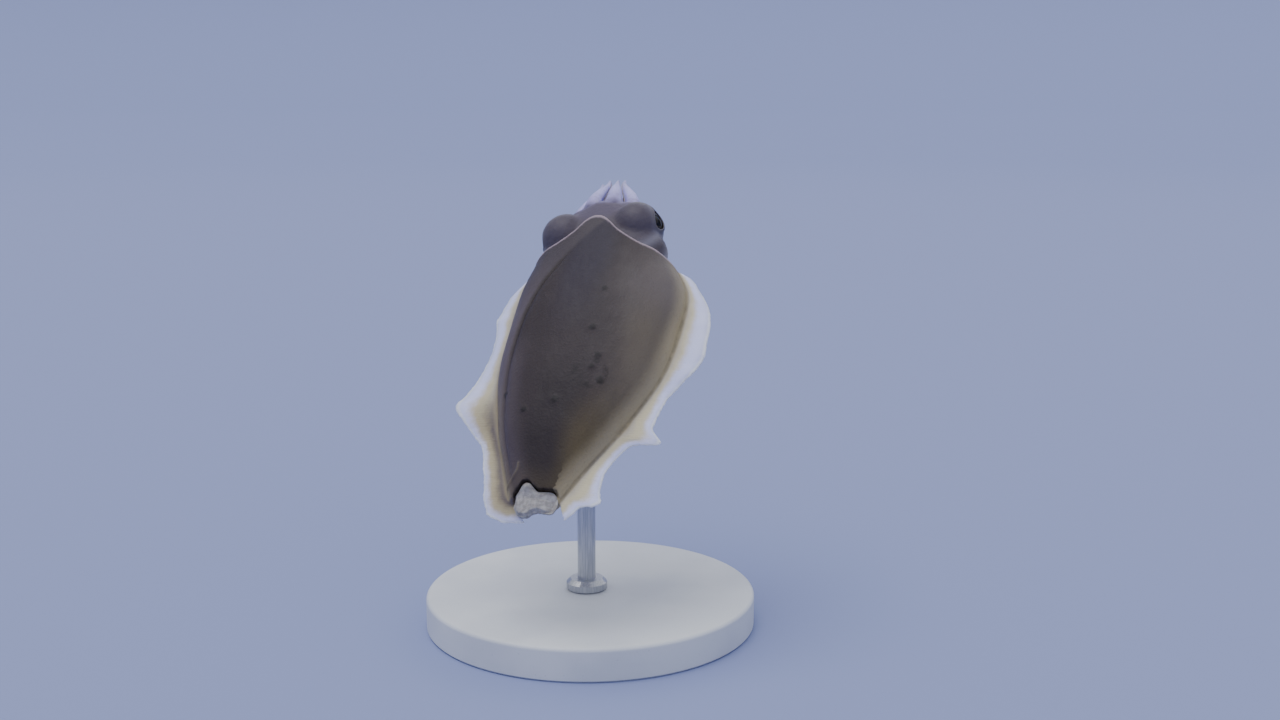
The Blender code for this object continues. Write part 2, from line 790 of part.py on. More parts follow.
def main():
    for old in list(bpy.data.objects):
        bpy.data.objects.remove(old)

    skin = material("dark_skin", (0.17, 0.15, 0.15), 0.45)
    arm_skin = material("arm_skin", (0.45, 0.42, 0.45), 0.45)
    pale_skin = material("pale_skin", (0.72, 0.68, 0.60), 0.40)
    bone = material("cuttlebone", (0.80, 0.79, 0.76), 0.85)
    eye = material("eye", (0.05, 0.05, 0.06), 0.10)
    base_finish = material("stand_base", (0.66, 0.68, 0.70), 0.4)
    rod_finish = material("stand_rod", (0.60, 0.60, 0.62), 0.25)

    body = bpy.data.objects.new("body_frame", None)
    bpy.context.scene.collection.objects.link(body)

    mantle = add_node(mantle_mesh(), skin, body)
    combine(mantle, [hole_cutter()], "DIFFERENCE")
    add_node(bone_mesh(), bone, body)

    head = add_node(head_mesh(), skin, body)
    sides = (1, -1)
    orbits = [ball("orbit", eye_centre(side) - eye_facing(side) * ORBIT_SINK, ORBIT_RADIUS) for side in sides]
    orbits += [ball("dome", dome_centre(side), DOME_RADIUS, 20, 12) for side in sides]
    combine(head, orbits + [mouth_mesh()], "UNION")
    combine(head, [window_mesh(side) for side in sides], "DIFFERENCE")
    combine(head, [lid_mesh(side) for side in sides], "UNION")
    sockets = [ball("socket", eye_centre(side), EYE_RADIUS + GAP) for side in sides]
    combine(head, sockets, "DIFFERENCE")
    for side, word in ((1, "left"), (-1, "right")):
        add_node(ball(f"eye_{word}", eye_centre(side), EYE_RADIUS), eye, body)
        for number, pair in enumerate(ARM_PAIRS, 1):
            arm = add_node(arm_mesh(f"arm_{word}_{number}", pair, side), arm_skin, body)
            combine(arm, [sucker_mesh(pair, side)], "UNION")
    add_node(funnel_mesh(), arm_skin, body)
    add_node(fin_mesh("fin_left", FIN_LEFT, 1), pale_skin, body)
    add_node(fin_mesh("fin_right", FIN_RIGHT, -1), pale_skin, body)

    turn = Matrix.Rotation(math.radians(HEADING), 4, "Z")
    turn = turn @ Matrix.Rotation(math.radians(-PITCH), 4, "Y")
    turn = turn @ Matrix.Rotation(math.radians(ROLL), 4, "X")
    body.rotation_euler = turn.to_euler()
    body.location = BODY_ORIGIN

    add_node(base_mesh(), base_finish)
    bpy.context.view_layer.update()
    under = mantle.matrix_world @ Vector((ROD_UNDER, 0, 0))
    add_node(rod_mesh(world_surface(mantle), under), rod_finish)


main()
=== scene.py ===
import math
from types import SimpleNamespace

import bmesh
import bpy
import numpy as np
from mathutils import Matrix, Vector, noise
from mathutils.bvhtree import BVHTree
from mathutils.kdtree import KDTree


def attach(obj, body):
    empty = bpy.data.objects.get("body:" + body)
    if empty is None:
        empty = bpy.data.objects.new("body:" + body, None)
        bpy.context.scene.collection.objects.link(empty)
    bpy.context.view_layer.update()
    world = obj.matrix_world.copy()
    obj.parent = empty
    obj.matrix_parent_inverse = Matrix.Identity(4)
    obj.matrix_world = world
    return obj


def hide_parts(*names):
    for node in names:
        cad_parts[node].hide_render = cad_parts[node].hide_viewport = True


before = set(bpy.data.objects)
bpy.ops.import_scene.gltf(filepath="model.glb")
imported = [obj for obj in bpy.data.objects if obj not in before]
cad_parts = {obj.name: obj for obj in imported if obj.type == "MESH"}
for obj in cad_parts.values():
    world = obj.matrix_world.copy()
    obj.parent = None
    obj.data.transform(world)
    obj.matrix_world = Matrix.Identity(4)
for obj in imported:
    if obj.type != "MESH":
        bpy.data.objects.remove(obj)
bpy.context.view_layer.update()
print("frame loaded")

# Everything of the animal is shaped in millimetres in its own frame: x to the head, y to its left,
# z to its back, from the rear end of the mantle. swim carries that frame to its place over the stand.
mm = 0.001
attitude = {"heading": 90.0, "pitch": 44.8, "roll": -3.8, "origin": (-1.0, -32.0, 38.0)}
swim = (
    Matrix.Translation(Vector(attitude["origin"]) * mm)
    @ Matrix.Rotation(math.radians(attitude["heading"]), 4, "Z")
    @ Matrix.Rotation(math.radians(-attitude["pitch"]), 4, "Y")
    @ Matrix.Rotation(math.radians(attitude["roll"]), 4, "X")
    @ Matrix.Scale(mm, 4)
)

view = {"place": (0.110306, -0.315865, 0.123977), "azimuth": 17.179, "elevation": 10.016, "lens": 40.0}
camera = bpy.data.objects.new("camera", bpy.data.cameras.new("camera"))
camera.data.lens = view["lens"]
camera.data.sensor_width = 36.0
camera.location = view["place"]
camera.rotation_euler = (math.radians(90 - view["elevation"]), 0, math.radians(view["azimuth"]))
bpy.context.scene.collection.objects.link(camera)
bpy.context.scene.camera = camera


# Shapes

def along(stations, place):
    # values at each place on a smooth curve through the stations (place, value, value ...)
    table = np.array(stations, float)
    knots, values = table[:, 0], table[:, 1:]
    last = len(knots) - 1
    low = np.maximum(np.arange(last + 1) - 1, 0)
    high = np.minimum(np.arange(last + 1) + 1, last)
    slopes = (values[high] - values[low]) / (knots[high] - knots[low])[:, None]
    x = np.clip(np.asarray(place, float), knots[0], knots[-1])
    i = np.clip(np.searchsorted(knots, x) - 1, 0, last - 1)
    step = (knots[i + 1] - knots[i])[..., None]
    t = (x - knots[i])[..., None] / step
    return (
        values[i] * (2 * t**3 - 3 * t**2 + 1)
        + slopes[i] * step * (t**3 - 2 * t**2 + t)
        + values[i + 1] * (3 * t**2 - 2 * t**3)
        + slopes[i + 1] * step * (t**3 - t**2)
    )


def curves(stations, place):
    # the same, with one array for each value
    return np.moveaxis(along(stations, place), -1, 0)


def circle(count):
    # the angles of a full turn in even steps
    return np.arange(count) * 2 * math.pi / count


def hoop(radius, height, turns):
    # a level ring of points round the z axis
    return np.stack([radius * np.cos(turns), radius * np.sin(turns), 0 * turns + height], -1)


def spokes(turns, ahead, upwards):
    # ways out from the axis of an eye
    return np.outer(np.cos(turns), ahead) + np.outer(np.sin(turns), upwards)


def onLine(values):
    # points on the x axis, for noise that changes along one line only
    return np.stack([values, values * 0, values * 0], -1)


def squareRound(angle, fullness):
    # unit superellipse, squarer as fullness rises above 2
    side, up = np.cos(angle), np.sin(angle)
    return np.sign(side) * np.abs(side) ** (2 / fullness), np.sign(up) * np.abs(up) ** (2 / fullness)


def unit(vectors):
    return vectors / np.maximum(np.linalg.norm(vectors, axis=-1, keepdims=True), 1e-9)


def bump(distance, width):
    return np.exp(-((np.asarray(distance) / width) ** 2))


def ease(value, low, high):
    t = np.clip((np.asarray(value, float) - low) / (high - low), 0, 1)
    return t * t * (3 - 2 * t)


def grain(points, scale, seed, stretch=(1, 1, 1)):
    # smooth noise at every point, about -1 to 1
    spots = np.asarray(points) * np.array(stretch) * scale + seed * 17.31
    return np.array([noise.noise(Vector(p)) for p in spots])


def layer(points, strength, scale, seed, stretch=(1, 1, 1)):
    return strength * grain(points, scale, seed, stretch)


def newMesh(name, points, faces):
    mesh = bpy.data.meshes.new(name)
    mesh.from_pydata(np.asarray(points, float).tolist(), [], faces)
    work = bmesh.new()
    work.from_mesh(mesh)
    bmesh.ops.remove_doubles(work, verts=work.verts, dist=0.002)
    bmesh.ops.recalc_face_normals(work, faces=work.faces)
    work.to_mesh(mesh)
    work.free()
    return mesh


def gridFaces(rows, columns):
    # the quads of a grid whose points are numbered row by row
    corners = []
    for i in range(rows - 1):
        for a in range(i * columns, (i + 1) * columns - 1):
            corners.append((a, a + 1, a + columns + 1, a + columns))
    return corners


def loft(name, rings):
    # closed mesh through rings of equal count
    rings = np.asarray(rings, float)
    count, sides = rings.shape[:2]
    faces = [tuple(range(sides)), tuple(range((count - 1) * sides, count * sides))]
    for r in range(count - 1):
        for j in range(sides):
            k = (j + 1) % sides
            faces.append((r * sides + j, r * sides + k, (r + 1) * sides + k, (r + 1) * sides + j))
    return newMesh(name, rings.reshape(-1, 3), faces)


def slab(name, upper, lower):
    # closed mesh between two grids of points alike in size
    rows, columns = upper.shape[:2]
    under = rows * columns
    faces = []
    for corners in gridFaces(rows, columns):
        faces += [corners, tuple(under + v for v in reversed(corners))]
    rim = list(range(columns))
    rim += [i * columns + columns - 1 for i in range(1, rows)]
    rim += [(rows - 1) * columns + j for j in range(columns - 2, -1, -1)]
    rim += [i * columns for i in range(rows - 2, 0, -1)]
    for k, v in enumerate(rim):
        w = rim[(k + 1) % len(rim)]
        faces.append((v, w, under + w, under + v))
    return newMesh(name, np.concatenate([upper.reshape(-1, 3), lower.reshape(-1, 3)]), faces)


def pointsOf(mesh):
    flat = np.empty(len(mesh.vertices) * 3)
    mesh.vertices.foreach_get("co", flat)
    return flat.reshape(-1, 3)


def setPoints(mesh, points):
    mesh.vertices.foreach_set("co", np.ascontiguousarray(points).ravel())
    mesh.update()


def normalsOf(mesh):
    flat = np.empty(len(mesh.vertices) * 3)
    mesh.vertex_normals.foreach_get("vector", flat)
    return flat.reshape(-1, 3)


def placeObject(name, mesh):
    made = bpy.data.objects.new(name, mesh)
    bpy.context.scene.collection.objects.link(made)
    return made


def dressed(name, mesh, finish, carry=swim):
    # a finished piece: carried to its place, with its material and smooth shading
    mesh.transform(carry)
    mesh.materials.clear()
    mesh.materials.append(finish)
    mesh.shade_smooth()
    return placeObject(name, mesh)


def settled(made):
    # the object's mesh with its modifiers applied
    graph = bpy.context.evaluated_depsgraph_get()
    mesh = bpy.data.meshes.new_from_object(made.evaluated_get(graph))
    old = made.data
    made.modifiers.clear()
    made.data = mesh
    bpy.data.meshes.remove(old)
    return mesh


def modified(mesh, kind, **settings):
    # the mesh after one modifier
    made = placeObject("rough", mesh)
    change = made.modifiers.new("change", kind)
    for key, value in settings.items():
        setattr(change, key, value)
    mesh = settled(made)
    bpy.data.objects.remove(made)
    return mesh


def cutOrJoin(mesh, others, operation):
    for other in others:
        tool = placeObject("tool", other)
        mesh = modified(mesh, "BOOLEAN", operation=operation, solver="MANIFOLD", object=tool)
        bpy.data.objects.remove(tool)
    return mesh


def oneSkin(name, shells, voxel):
    # closes overlapping shells into one even surface
    work = bmesh.new()
    for shell in shells:
        work.from_mesh(shell)
    mesh = bpy.data.meshes.new(name)
    work.to_mesh(mesh)
    work.free()
    return modified(mesh, "REMESH", mode="VOXEL", voxel_size=voxel, use_smooth_shade=True)


def thinned(mesh, faces):
    mesh.calc_loop_triangles()
    return modified(mesh, "DECIMATE", ratio=min(1.0, faces / len(mesh.loop_triangles)))


def relax(mesh, weight, rounds, amount):
    # evens out the surface where weight is above 0; rounds of a small amount push back in turn,
    # so that the form doesn't shrink
    points = pointsOf(mesh)
    ends = np.empty(len(mesh.edges) * 2, int)
    mesh.edges.foreach_get("vertices", ends)
    a, b = ends.reshape(-1, 2).T
    count = len(points)
    near = np.bincount(a, minlength=count) + np.bincount(b, minlength=count)
    near = np.maximum(near, 1)[:, None]
    weight = np.broadcast_to(np.asarray(weight, float), (count,))[:, None]
    for i in range(rounds):
        total = np.stack([
            np.bincount(a, points[b, k], count) + np.bincount(b, points[a, k], count) for k in range(3)
        ], -1)
        share = amount if i % 2 == 0 or amount > 0.55 else -amount * 0.96
        points = points + weight * share * (total / near - points)
    setPoints(mesh, points)


def fill(mesh, **marks):
    # stores numbers or vectors for the points of a mesh, or one number for them all
    for name, values in marks.items():
        values = np.asarray(values, float)
        if values.ndim == 0:
            values = np.full(len(mesh.vertices), values)
        kind, part = ("FLOAT_VECTOR", "vector") if values.ndim == 2 else ("FLOAT", "value")
        mesh.attributes.new(name, kind, "POINT").data.foreach_set(part, values.ravel())


# Materials

class Wire:
    # a socket of a material, with the sums that Math nodes do
    def __init__(self, finish, socket):
        self.finish = finish
        self.socket = socket

    def sum(self, operation, first, second=0.0):
        return self.finish.node("ShaderNodeMath", {"operation": operation}, {0: first, 1: second})

    def __add__(self, other):
        return self.sum("ADD", self, other)

    def __sub__(self, other):
        return self.sum("SUBTRACT", self, other)

    def __rsub__(self, other):
        return self.sum("SUBTRACT", other, self)

    def __mul__(self, other):
        return self.sum("MULTIPLY", self, other)

    def __abs__(self):
        return self.sum("ABSOLUTE", self)

    def top(self, other):
        return self.sum("MAXIMUM", self, other)

    def cosine(self):
        return self.sum("COSINE", self)

    def squareRoot(self):
        return self.sum("SQRT", self)


class Finish:
    # a procedural material
    def __init__(self, name):
        self.material = bpy.data.materials.new(name)
        self.material.use_nodes = True
        self.tree = self.material.node_tree
        self.shader = self.tree.nodes["Principled BSDF"]

    def node(self, kind, settings=None, inputs=None, output=0):
        made = self.tree.nodes.new(kind)
        for key, value in (settings or {}).items():
            setattr(made, key, value)
        for key, value in (inputs or {}).items():
            self.feed(made.inputs[key], value)
        return Wire(self, made.outputs[output])

    def feed(self, socket, value):
        if isinstance(value, Wire):
            self.tree.links.new(value.socket, socket)
        elif socket.type == "RGBA" and len(value) == 3:
            socket.default_value = (*value, 1.0)
        else:
            socket.default_value = value

    def set(self, **values):
        # inputs of the main shader, written without their spaces
        for socket in self.shader.inputs:
            key = socket.name.replace(" ", "").replace("IOR", "Ior")
            key = key[0].lower() + key[1:]
            if key in values:
                self.feed(socket, values[key])

    def ramp(self, value, low, high, start=0.0, end=1.0):
        settings = {"interpolation_type": "SMOOTHSTEP"}
        inputs = {"Value": value, "From Min": low, "From Max": high, "To Min": start, "To Max": end}
        return self.node("ShaderNodeMapRange", settings, inputs)

    def mix(self, share, first, second):
        return self.node("ShaderNodeMix", {"data_type": "RGBA"}, {0: share, 6: first, 7: second}, 2)

    def coats(self, colour, *coats):
        # lays colours over the first one, each by its share
        for share, over in coats:
            colour = self.mix(share, colour, over)
        return colour

    def attribute(self, name, output=2):
        return self.node("ShaderNodeAttribute", {"attribute_name": name}, output=output)

    def coordinates(self, output=3):
        return self.node("ShaderNodeTexCoord", output=output)

    def noise(self, where, scale, detail=3.0, roughness=0.5):
        inputs = {"Vector": where, "Scale": scale, "Detail": detail, "Roughness": roughness}
        return self.node("ShaderNodeTexNoise", {"noise_dimensions": "3D"}, inputs)

    def cells(self, where, scale):
        return self.node("ShaderNodeTexVoronoi", {}, {"Vector": where, "Scale": scale})

    def vectorSum(self, operation, first, second, output=0):
        return self.node("ShaderNodeVectorMath", {"operation": operation}, {0: first, 1: second}, output)

    def stretched(self, where, scale):
        return self.vectorSum("MULTIPLY", where, scale)

    def distance(self, where, point):
        return self.vectorSum("DISTANCE", where, point, 1)

    def parts(self, where):
        made = self.node("ShaderNodeSeparateXYZ", {}, {"Vector": where}).socket.node
        return [Wire(self, made.outputs[k]) for k in range(3)]

    def relief(self, height, depth, strength=0.5):
        return self.node("ShaderNodeBump", {}, {"Height": height, "Distance": depth, "Strength": strength})


def shade(red, green, blue):
    # a colour as seen on screen, in the linear numbers that shaders use
    return tuple(((v + 0.055) / 1.055) ** 2.4 if v > 0.04045 else v / 12.92 for v in (red, green, blue))


# Mantle, as in the solids but finer

mantle = {
    "length": 76.2,
    "sideEdge": 65.6,
    "underEdge": 62.5,
    "wall": 1.0,
    "cavityFloor": 56.0,
    "fullness": 2.15,
    "sides": 250,
    "levels": 150,
    # distance from the rear end, half width, height, depth, shift to the left
    "stations": (
        (0.0, 5.9, 3.3, 3.6, 1.0), (8.0, 9.7, 5.7, 6.8, 0.8), (20.0, 15.5, 8.1, 10.2, -0.2),
        (34.0, 20.2, 9.7, 12.6, -1.4), (48.0, 21.4, 10.6, 13.4, -1.9), (58.0, 21.2, 10.4, 13.2, -1.7),
        (66.0, 18.4, 10.0, 12.6, -0.4), (75.0, 15.5, 9.4, 12.0, 1.3),
    ),
    # share of the half width, how far the front edge of the back reaches there
    "lobe": (
        (0.0, 1.0), (0.02, 0.999), (0.07, 0.985), (0.14, 0.935), (0.24, 0.79), (0.35, 0.58), (0.6, 0.3),
        (0.82, 0.19), (1.0, 0.0),
    ),
    # the line on its left where the skin folds over the edge of the cuttlebone: along, to the left
    "fold": (
        (1.5, 5.2), (6.0, 7.4), (12.3, 10.1), (18.6, 12.1), (25.1, 13.3), (31.5, 14.0), (38.6, 14.2),
        (46.4, 13.6), (50.7, 12.6), (55.5, 10.8), (60.8, 8.0), (65.2, 5.1), (71.0, 1.0), (77.0, -3.5),
    ),
    # the blunt rear end: share of the first ring, how far behind it
    "rearEnd": ((0.06, 1.5), (0.25, 1.42), (0.45, 1.25), (0.65, 1.0), (0.8, 0.72), (0.92, 0.4)),
    # the lip, a slight bead that rolls over into the cavity: ahead of the front edge, inset
    "lip": (
        (-0.5, -0.12), (-0.15, -0.08), (0.12, 0.12), (0.24, 0.4), (0.16, 0.75), (-0.15, 1.0), (-0.7, 1.1),
    ),
    # the collar between the wall and the neck: share of the wall's ring, how far behind the front edge
    "collar": ((0.97, 4.1), (0.9, 4.4), (0.8, 4.5), (0.68, 4.9), (0.5, 6.0)),
    "collarFront": 69.0,
    # the inner wall: how far behind the front edge its rings lie, and the share left at its end
    "inside": (1.5, 2.5, 3.5),
    "cavityEnd": 0.3,
}
# to the left, how far forward the ragged edge of the hole at the rear end lies
holeEdge = (
    (-5.2, 0.5), (-4.9, 1.7), (-4.3, 2.1), (-2.7, 2.0), (-1.5, 1.8), (-0.4, 1.9), (0.7, 2.6),
    (1.6, 3.4), (2.4, 3.6), (3.2, 3.3), (3.9, 2.5), (4.4, 1.9), (5.0, 1.6), (5.5, 0.4),
)
# its raggedness: strength, scale and seed of the noise
holeNoise = ((0.26, 1.9, 3), (0.16, 5.0, 5))
# along and to the left, the low ridge of skin beside the hole
tornFlap = ((7.2, 5.0), (6.2, 5.0), (5.2, 5.3), (4.1, 6.2), (3.0, 7.0), (2.2, 7.5))


def mantleSizes(x):
    return curves(mantle["stations"], x)


def mantlePoint(x, angle, inset=0.0):
    halfWidth, height, depth, shift = mantleSizes(x)
    side, up = squareRound(angle, mantle["fullness"])
    rise = np.where(up > 0, height, depth) - inset
    return np.stack(np.broadcast_arrays(x, shift + (halfWidth - inset) * side, rise * up), -1)


def mantleEdge(side, up):
    # how far forward the front edge lies, by the place round the body
    lobe = curves(mantle["lobe"], np.abs(side))[0]
    over = mantle["sideEdge"] + (mantle["length"] - mantle["sideEdge"]) * lobe
    under = mantle["sideEdge"] + (mantle["underEdge"] - mantle["sideEdge"]) * np.maximum(-up, 0) ** 1.5
    return np.where(up < 0, under, over)


def mantleShell():
    angles = circle(mantle["sides"])
    edge = mantleEdge(*squareRound(angles, mantle["fullness"]))
    rings = [mantlePoint(0.0, angles) * share - np.array((back, 0, 0)) for share, back in mantle["rearEnd"]]
    for i in range(mantle["levels"]):
        rings.append(mantlePoint((edge - 0.9) * i / (mantle["levels"] - 1), angles))
    rings += [mantlePoint(edge + ahead, angles, inset) for ahead, inset in mantle["lip"]]
    rings += [mantlePoint(edge - behind, angles, mantle["wall"]) for behind in mantle["inside"]]
    for share, behind in mantle["collar"]:
        ring = mantlePoint(edge - behind, angles, mantle["wall"])
        ring[:, 1:] *= share
        ring[:, 0] = np.minimum(ring[:, 0], mantle["collarFront"] - 6 * (1 - share))
        rings.append(ring)
    end = mantlePoint(0 * angles + mantle["cavityFloor"], angles)
    rings.append(end * np.array((1, mantle["cavityEnd"], mantle["cavityEnd"])))
    return loft("mantleShell", rings)


def holeCutter():
    left, edge = holeLine()
    rear, top = np.full_like(left, -6.0), np.full_like(left, 12.0)
    upper = np.stack([np.stack([x, left, top], -1) for x in (rear, edge)], 1)
    return slab("hole", upper, upper * np.array((1, 1, 0)))


# Fins

fins = {
    "rootThickness": 1.7,
    "marginThickness": 0.46,
    "sunk": 1.6,
    "lengthwise": 300,
    "across": 22,
    "ripple": 0.12,
    # the margin's unevenness, and its fraying towards the tail, out and back: scale, seed, strength
    "uneven": (0.3, 21, 0.25),
    "frayOut": (1.9, 23, 0.55),
    "frayBack": (1.4, 25, 0.7),
    "frayed": (4.0, 12.0),
    # place of the root along the mantle, how far the margin stands out from it, how far it is lifted
    # and how far it trails towards the tail
    "left": (
        (0.4, -4.4, -1.7, 4.8), (1.2, 1.4, -1.3, 5.6), (2.6, 4.2, -0.7, 5.2), (4.8, 4.6, 0.2, 3.0),
        (9.5, 4.6, 0.6, 1.6), (14.5, 4.8, -0.5, 0.8), (18.0, 6.6, -1.0, 0.8), (21.5, 9.4, -0.5, 0.4),
        (25.0, 11.4, 0.0, 0.0), (28.0, 9.0, -0.4, -0.6), (33.0, 6.8, -1.3, -0.4), (39.0, 5.2, -1.7, -0.6),
        (45.0, 4.6, -1.0, -0.6), (50.0, 5.6, -0.8, -0.4), (56.0, 5.0, -1.8, -0.4), (61.5, 3.4, -1.4, 0.0),
        (65.0, 1.0, -0.2, 0.0),
    ),
    "right": (
        (0.4, 2.0, -0.4, 4.4), (2.0, 4.6, 0.0, 2.8), (4.2, 7.6, 0.3, 3.8), (7.2, 5.4, 0.4, 2.6),
        (10.8, 3.8, 0.1, 1.6), (14.4, 3.4, -0.5, 1.0), (17.0, 4.6, -0.4, 1.0), (20.0, 9.6, 0.4, 3.6),
        (23.0, 5.6, 0.5, 2.9), (26.5, 4.5, 0.2, 1.7), (30.5, 4.1, -0.5, 0.9), (34.0, 5.2, -0.5, 0.8),
        (38.0, 7.3, 0.0, 1.0), (42.5, 8.0, 0.5, 1.2), (50.0, 7.2, 0.5, 1.4), (56.0, 5.6, -0.3, 1.2),
        (60.5, 3.8, -0.2, 0.9), (63.5, 3.0, 0.0, 0.4), (65.2, 0.9, 0.0, 0.0),
    ),
}


def finSheet(side):
    # middle surface of a fin as rows along the body, and the share from its root to its margin
    stations = fins["left"] if side > 0 else fins["right"]
    rows = fins["lengthwise"]
    x = stations[0][0] + (stations[-1][0] - stations[0][0]) * (np.arange(rows) / (rows - 1)) ** 1.15
    width, lift, trail = curves(stations, x)
    frayed = 1 - ease(x, *fins["frayed"])

    def waver(kind):
        scale, seed, strength = fins[kind]
        return grain(onLine(x), scale, seed + side) * strength

    width = width + waver("uneven") + waver("frayOut") * frayed
    trail = trail + waver("frayBack") * frayed
    root = mantlePoint(x, np.where(side > 0, 0.0, math.pi))
    out = np.linspace(0, 1, fins["across"]) ** 0.9
    ripple = fins["ripple"] * np.sin(x * 0.9 + 2.2 * grain(onLine(x), 0.16, 27 + side))
    ripple = ripple * ease(x, 0, 8) * ease(width, 1, 4)
    sheet = np.empty((rows, len(out), 3))
    sheet[..., 0] = root[:, None, 0] - trail[:, None] * out
    sheet[..., 1] = root[:, None, 1] + side * width[:, None] * out
    sheet[..., 2] = root[:, None, 2] + lift[:, None] * out * (0.4 + 0.6 * out) + ripple[:, None] * out**2
    return sheet, out


def finShell(side):
    sheet, out = finSheet(side)
    sunk = sheet[:, :1].copy()
    sunk[..., 1] -= side * fins["sunk"]
    sheet = np.concatenate([sunk, sheet], 1)
    thick = fins["rootThickness"] * (1 - out) ** 1.6 + fins["marginThickness"] * (1 - (1 - out) ** 1.6)
    thick = np.concatenate([[fins["rootThickness"]], thick])
    normal = unit(np.cross(np.gradient(sheet, axis=0), np.gradient(sheet, axis=1)))
    half = normal * np.sign(normal[..., 2:]) * thick[:, None] / 2
    return slab("finShell", sheet + half, sheet - half)


# Head and arms, along a spine that droops and turns to the left ahead of the mantle

spine = {
    "start": (56.5, -0.5, -0.4),
    "step": 0.25,
    # distance along the spine, droop and turn to the left in degrees
    "bends": (
        (0.0, 0.0, 0.0), (6.0, 0.0, 8.0), (12.0, 1.0, 10.0), (20.0, 9.0, 11.0), (28.0, 19.0, 14.0),
        (42.0, 27.0, 17.0), (72.0, 30.0, 17.0),
    ),
}
head = {
    "length": 27.5,
    "neck": -2.5,
    "fullness": 2.3,
    "scallop": 0.9,
    "sides": 144,
    "levels": 96,
    # distance along the spine, half width, height above and depth below it
    "stations": (
        (0.0, 15.0, 7.6, 5.4), (5.0, 15.2, 7.9, 5.6), (9.0, 15.3, 8.2, 6.0), (13.0, 16.2, 8.1, 7.0),
        (16.5, 14.9, 8.3, 7.6), (20.0, 12.7, 8.4, 8.0), (24.0, 11.5, 8.2, 8.2), (27.5, 10.2, 7.7, 8.1),
    ),
    "mouthRadius": 3.2,
    "mouthLength": 3.4,
    "mouthTaper": 0.62,
    "mouthFolds": 12,
    "mouthFoldDepth": 0.05,
}
eyes = {
    "place": (19.4, 10.4, 3.0),
    "facing": (0.10, 0.93, 0.36),
    "radius": 4.9,
    "clearance": 0.12,
    "orbitRadius": 6.2,
    "orbitSink": 1.05,
    # the dome that rises behind and above the eye: radius, how far it is sunk, raised and set forward
    "dome": (6.1, 1.3, 1.4, 0.2),
    # from the eyeball's centre to the dome's darkest place: raised, set back, sunk
    "darkest": (5.0, 3.0, 2.0),
    "domeFar": 20.0,
    "browRise": 0.7,
    "browSpread": 7.0,
    # half angles of the opening from the way the eye looks: fore and aft, upwards, downwards
    "opening": (36.0, 23.0, 28.0),
    # the cutter of the opening, from the eyeball's centre outwards
    "window": (1.5, 5.0, 9.5),
    # the rim of the lids lies this many degrees outside the opening, and more above
    "lidTilt": (4.5, 3.0),
    "lidReach": 5.22,
    "lidThickness": 0.3,
    "lidWidth": 0.62,
    "upperLidExtra": 0.34,
}
arms = {
    "ringSide": 7.7,
    "ringRise": 5.8,
    "tipRadius": 0.32,
    "sunk": 1.6,
    "rings": 80,
    "sides": 36,
    "gap": 0.3,
    "spread": 0.22,
    "fullness": 2.2,
    "web": 0.16,
    "keel": 0.07,
    "tipShare": 0.55,
    "narrowing": 0.85,
    # place round the ring in degrees from the back, length, half width, half thickness
    "pairs": (
        (21.5, 27.5, 2.25, 2.0), (65.0, 29.5, 2.2, 2.1), (115.0, 31.0, 2.2, 2.15), (158.5, 32.0, 2.3, 2.15),
    ),
    "taper": ((0.0, 1.0), (0.15, 0.95), (0.35, 0.8), (0.6, 0.6), (0.85, 0.43), (1.0, 0.42)),
}
funnel = {
    "wall": 0.75,
    "depth": 4.0,
    "sides": 72,
    # distance along the spine, drop below it, half width, half height
    "stations": (
        (0.0, 8.5, 12.0, 2.2), (5.0, 8.5, 11.0, 2.2), (8.0, 9.1, 9.2, 2.3),
        (12.0, 10.6, 5.7, 2.7), (16.0, 11.8, 3.8, 2.8), (21.0, 12.7, 2.9, 2.6),
    ),
}


def spineAxes(s):
    droop, turn = np.radians(curves(spine["bends"], s))
    forward = np.stack([np.cos(droop) * np.cos(turn), np.cos(droop) * np.sin(turn), -np.sin(droop)], -1)
    toLeft = unit(np.stack([-forward[..., 1], forward[..., 0], forward[..., 0] * 0], -1))
    return forward, toLeft, np.cross(forward, toLeft)


spineSteps = int(75 / spine["step"])
spineLine = np.concatenate([[spine["start"]], spineAxes((np.arange(spineSteps) + 0.5) * spine["step"])[0]])
spineLine[1:] *= spine["step"]
spineLine = np.cumsum(spineLine, 0)


def bySpine(s, left, up):
    # the point at a distance along the spine, moved to its left and towards its back
    s, left, up = np.broadcast_arrays(*(np.asarray(v, float) for v in (s, left, up)))
    place = np.maximum(s, 0) / spine["step"]
    i = np.minimum(place.astype(int), len(spineLine) - 2)
    share = (place - i)[..., None]
    forward, toLeft, toBack = spineAxes(s)
    origin = spineLine[i] * (1 - share) + spineLine[i + 1] * share + forward * np.minimum(s, 0)[..., None]
    return origin + toLeft * left[..., None] + toBack * up[..., None]


def lineTree(points):
    tree = KDTree(len(points))
    for i, p in enumerate(points):
        tree.insert(p, i)
    tree.balance()
    return tree


def spinePlace(points):
    # distance along the spine, to its left and towards its back, of every point
    tree = lineTree(spineLine)
    nearest = np.array([tree.find(p)[1] for p in points])
    s = nearest * spine["step"]
    forward, toLeft, toBack = spineAxes(s)
    offset = points - spineLine[nearest]
    s = s + np.sum(offset * forward, -1)
    return s, np.sum(offset * toLeft, -1), np.sum(offset * toBack, -1)


def eyeFrame(side):
    # centre of an eyeball, the way it looks, and the ways ahead and up as seen from it
    s, out, up = eyes["place"]
    forward, toLeft, toBack = spineAxes(s)
    ahead, aside, above = eyes["facing"]
    facing = unit(forward * ahead + toLeft * side * aside + toBack * above)
    upwards = unit(toBack - facing * np.dot(toBack, facing))
    return bySpine(s, side * out, up), facing, np.cross(facing, upwards) * side, upwards


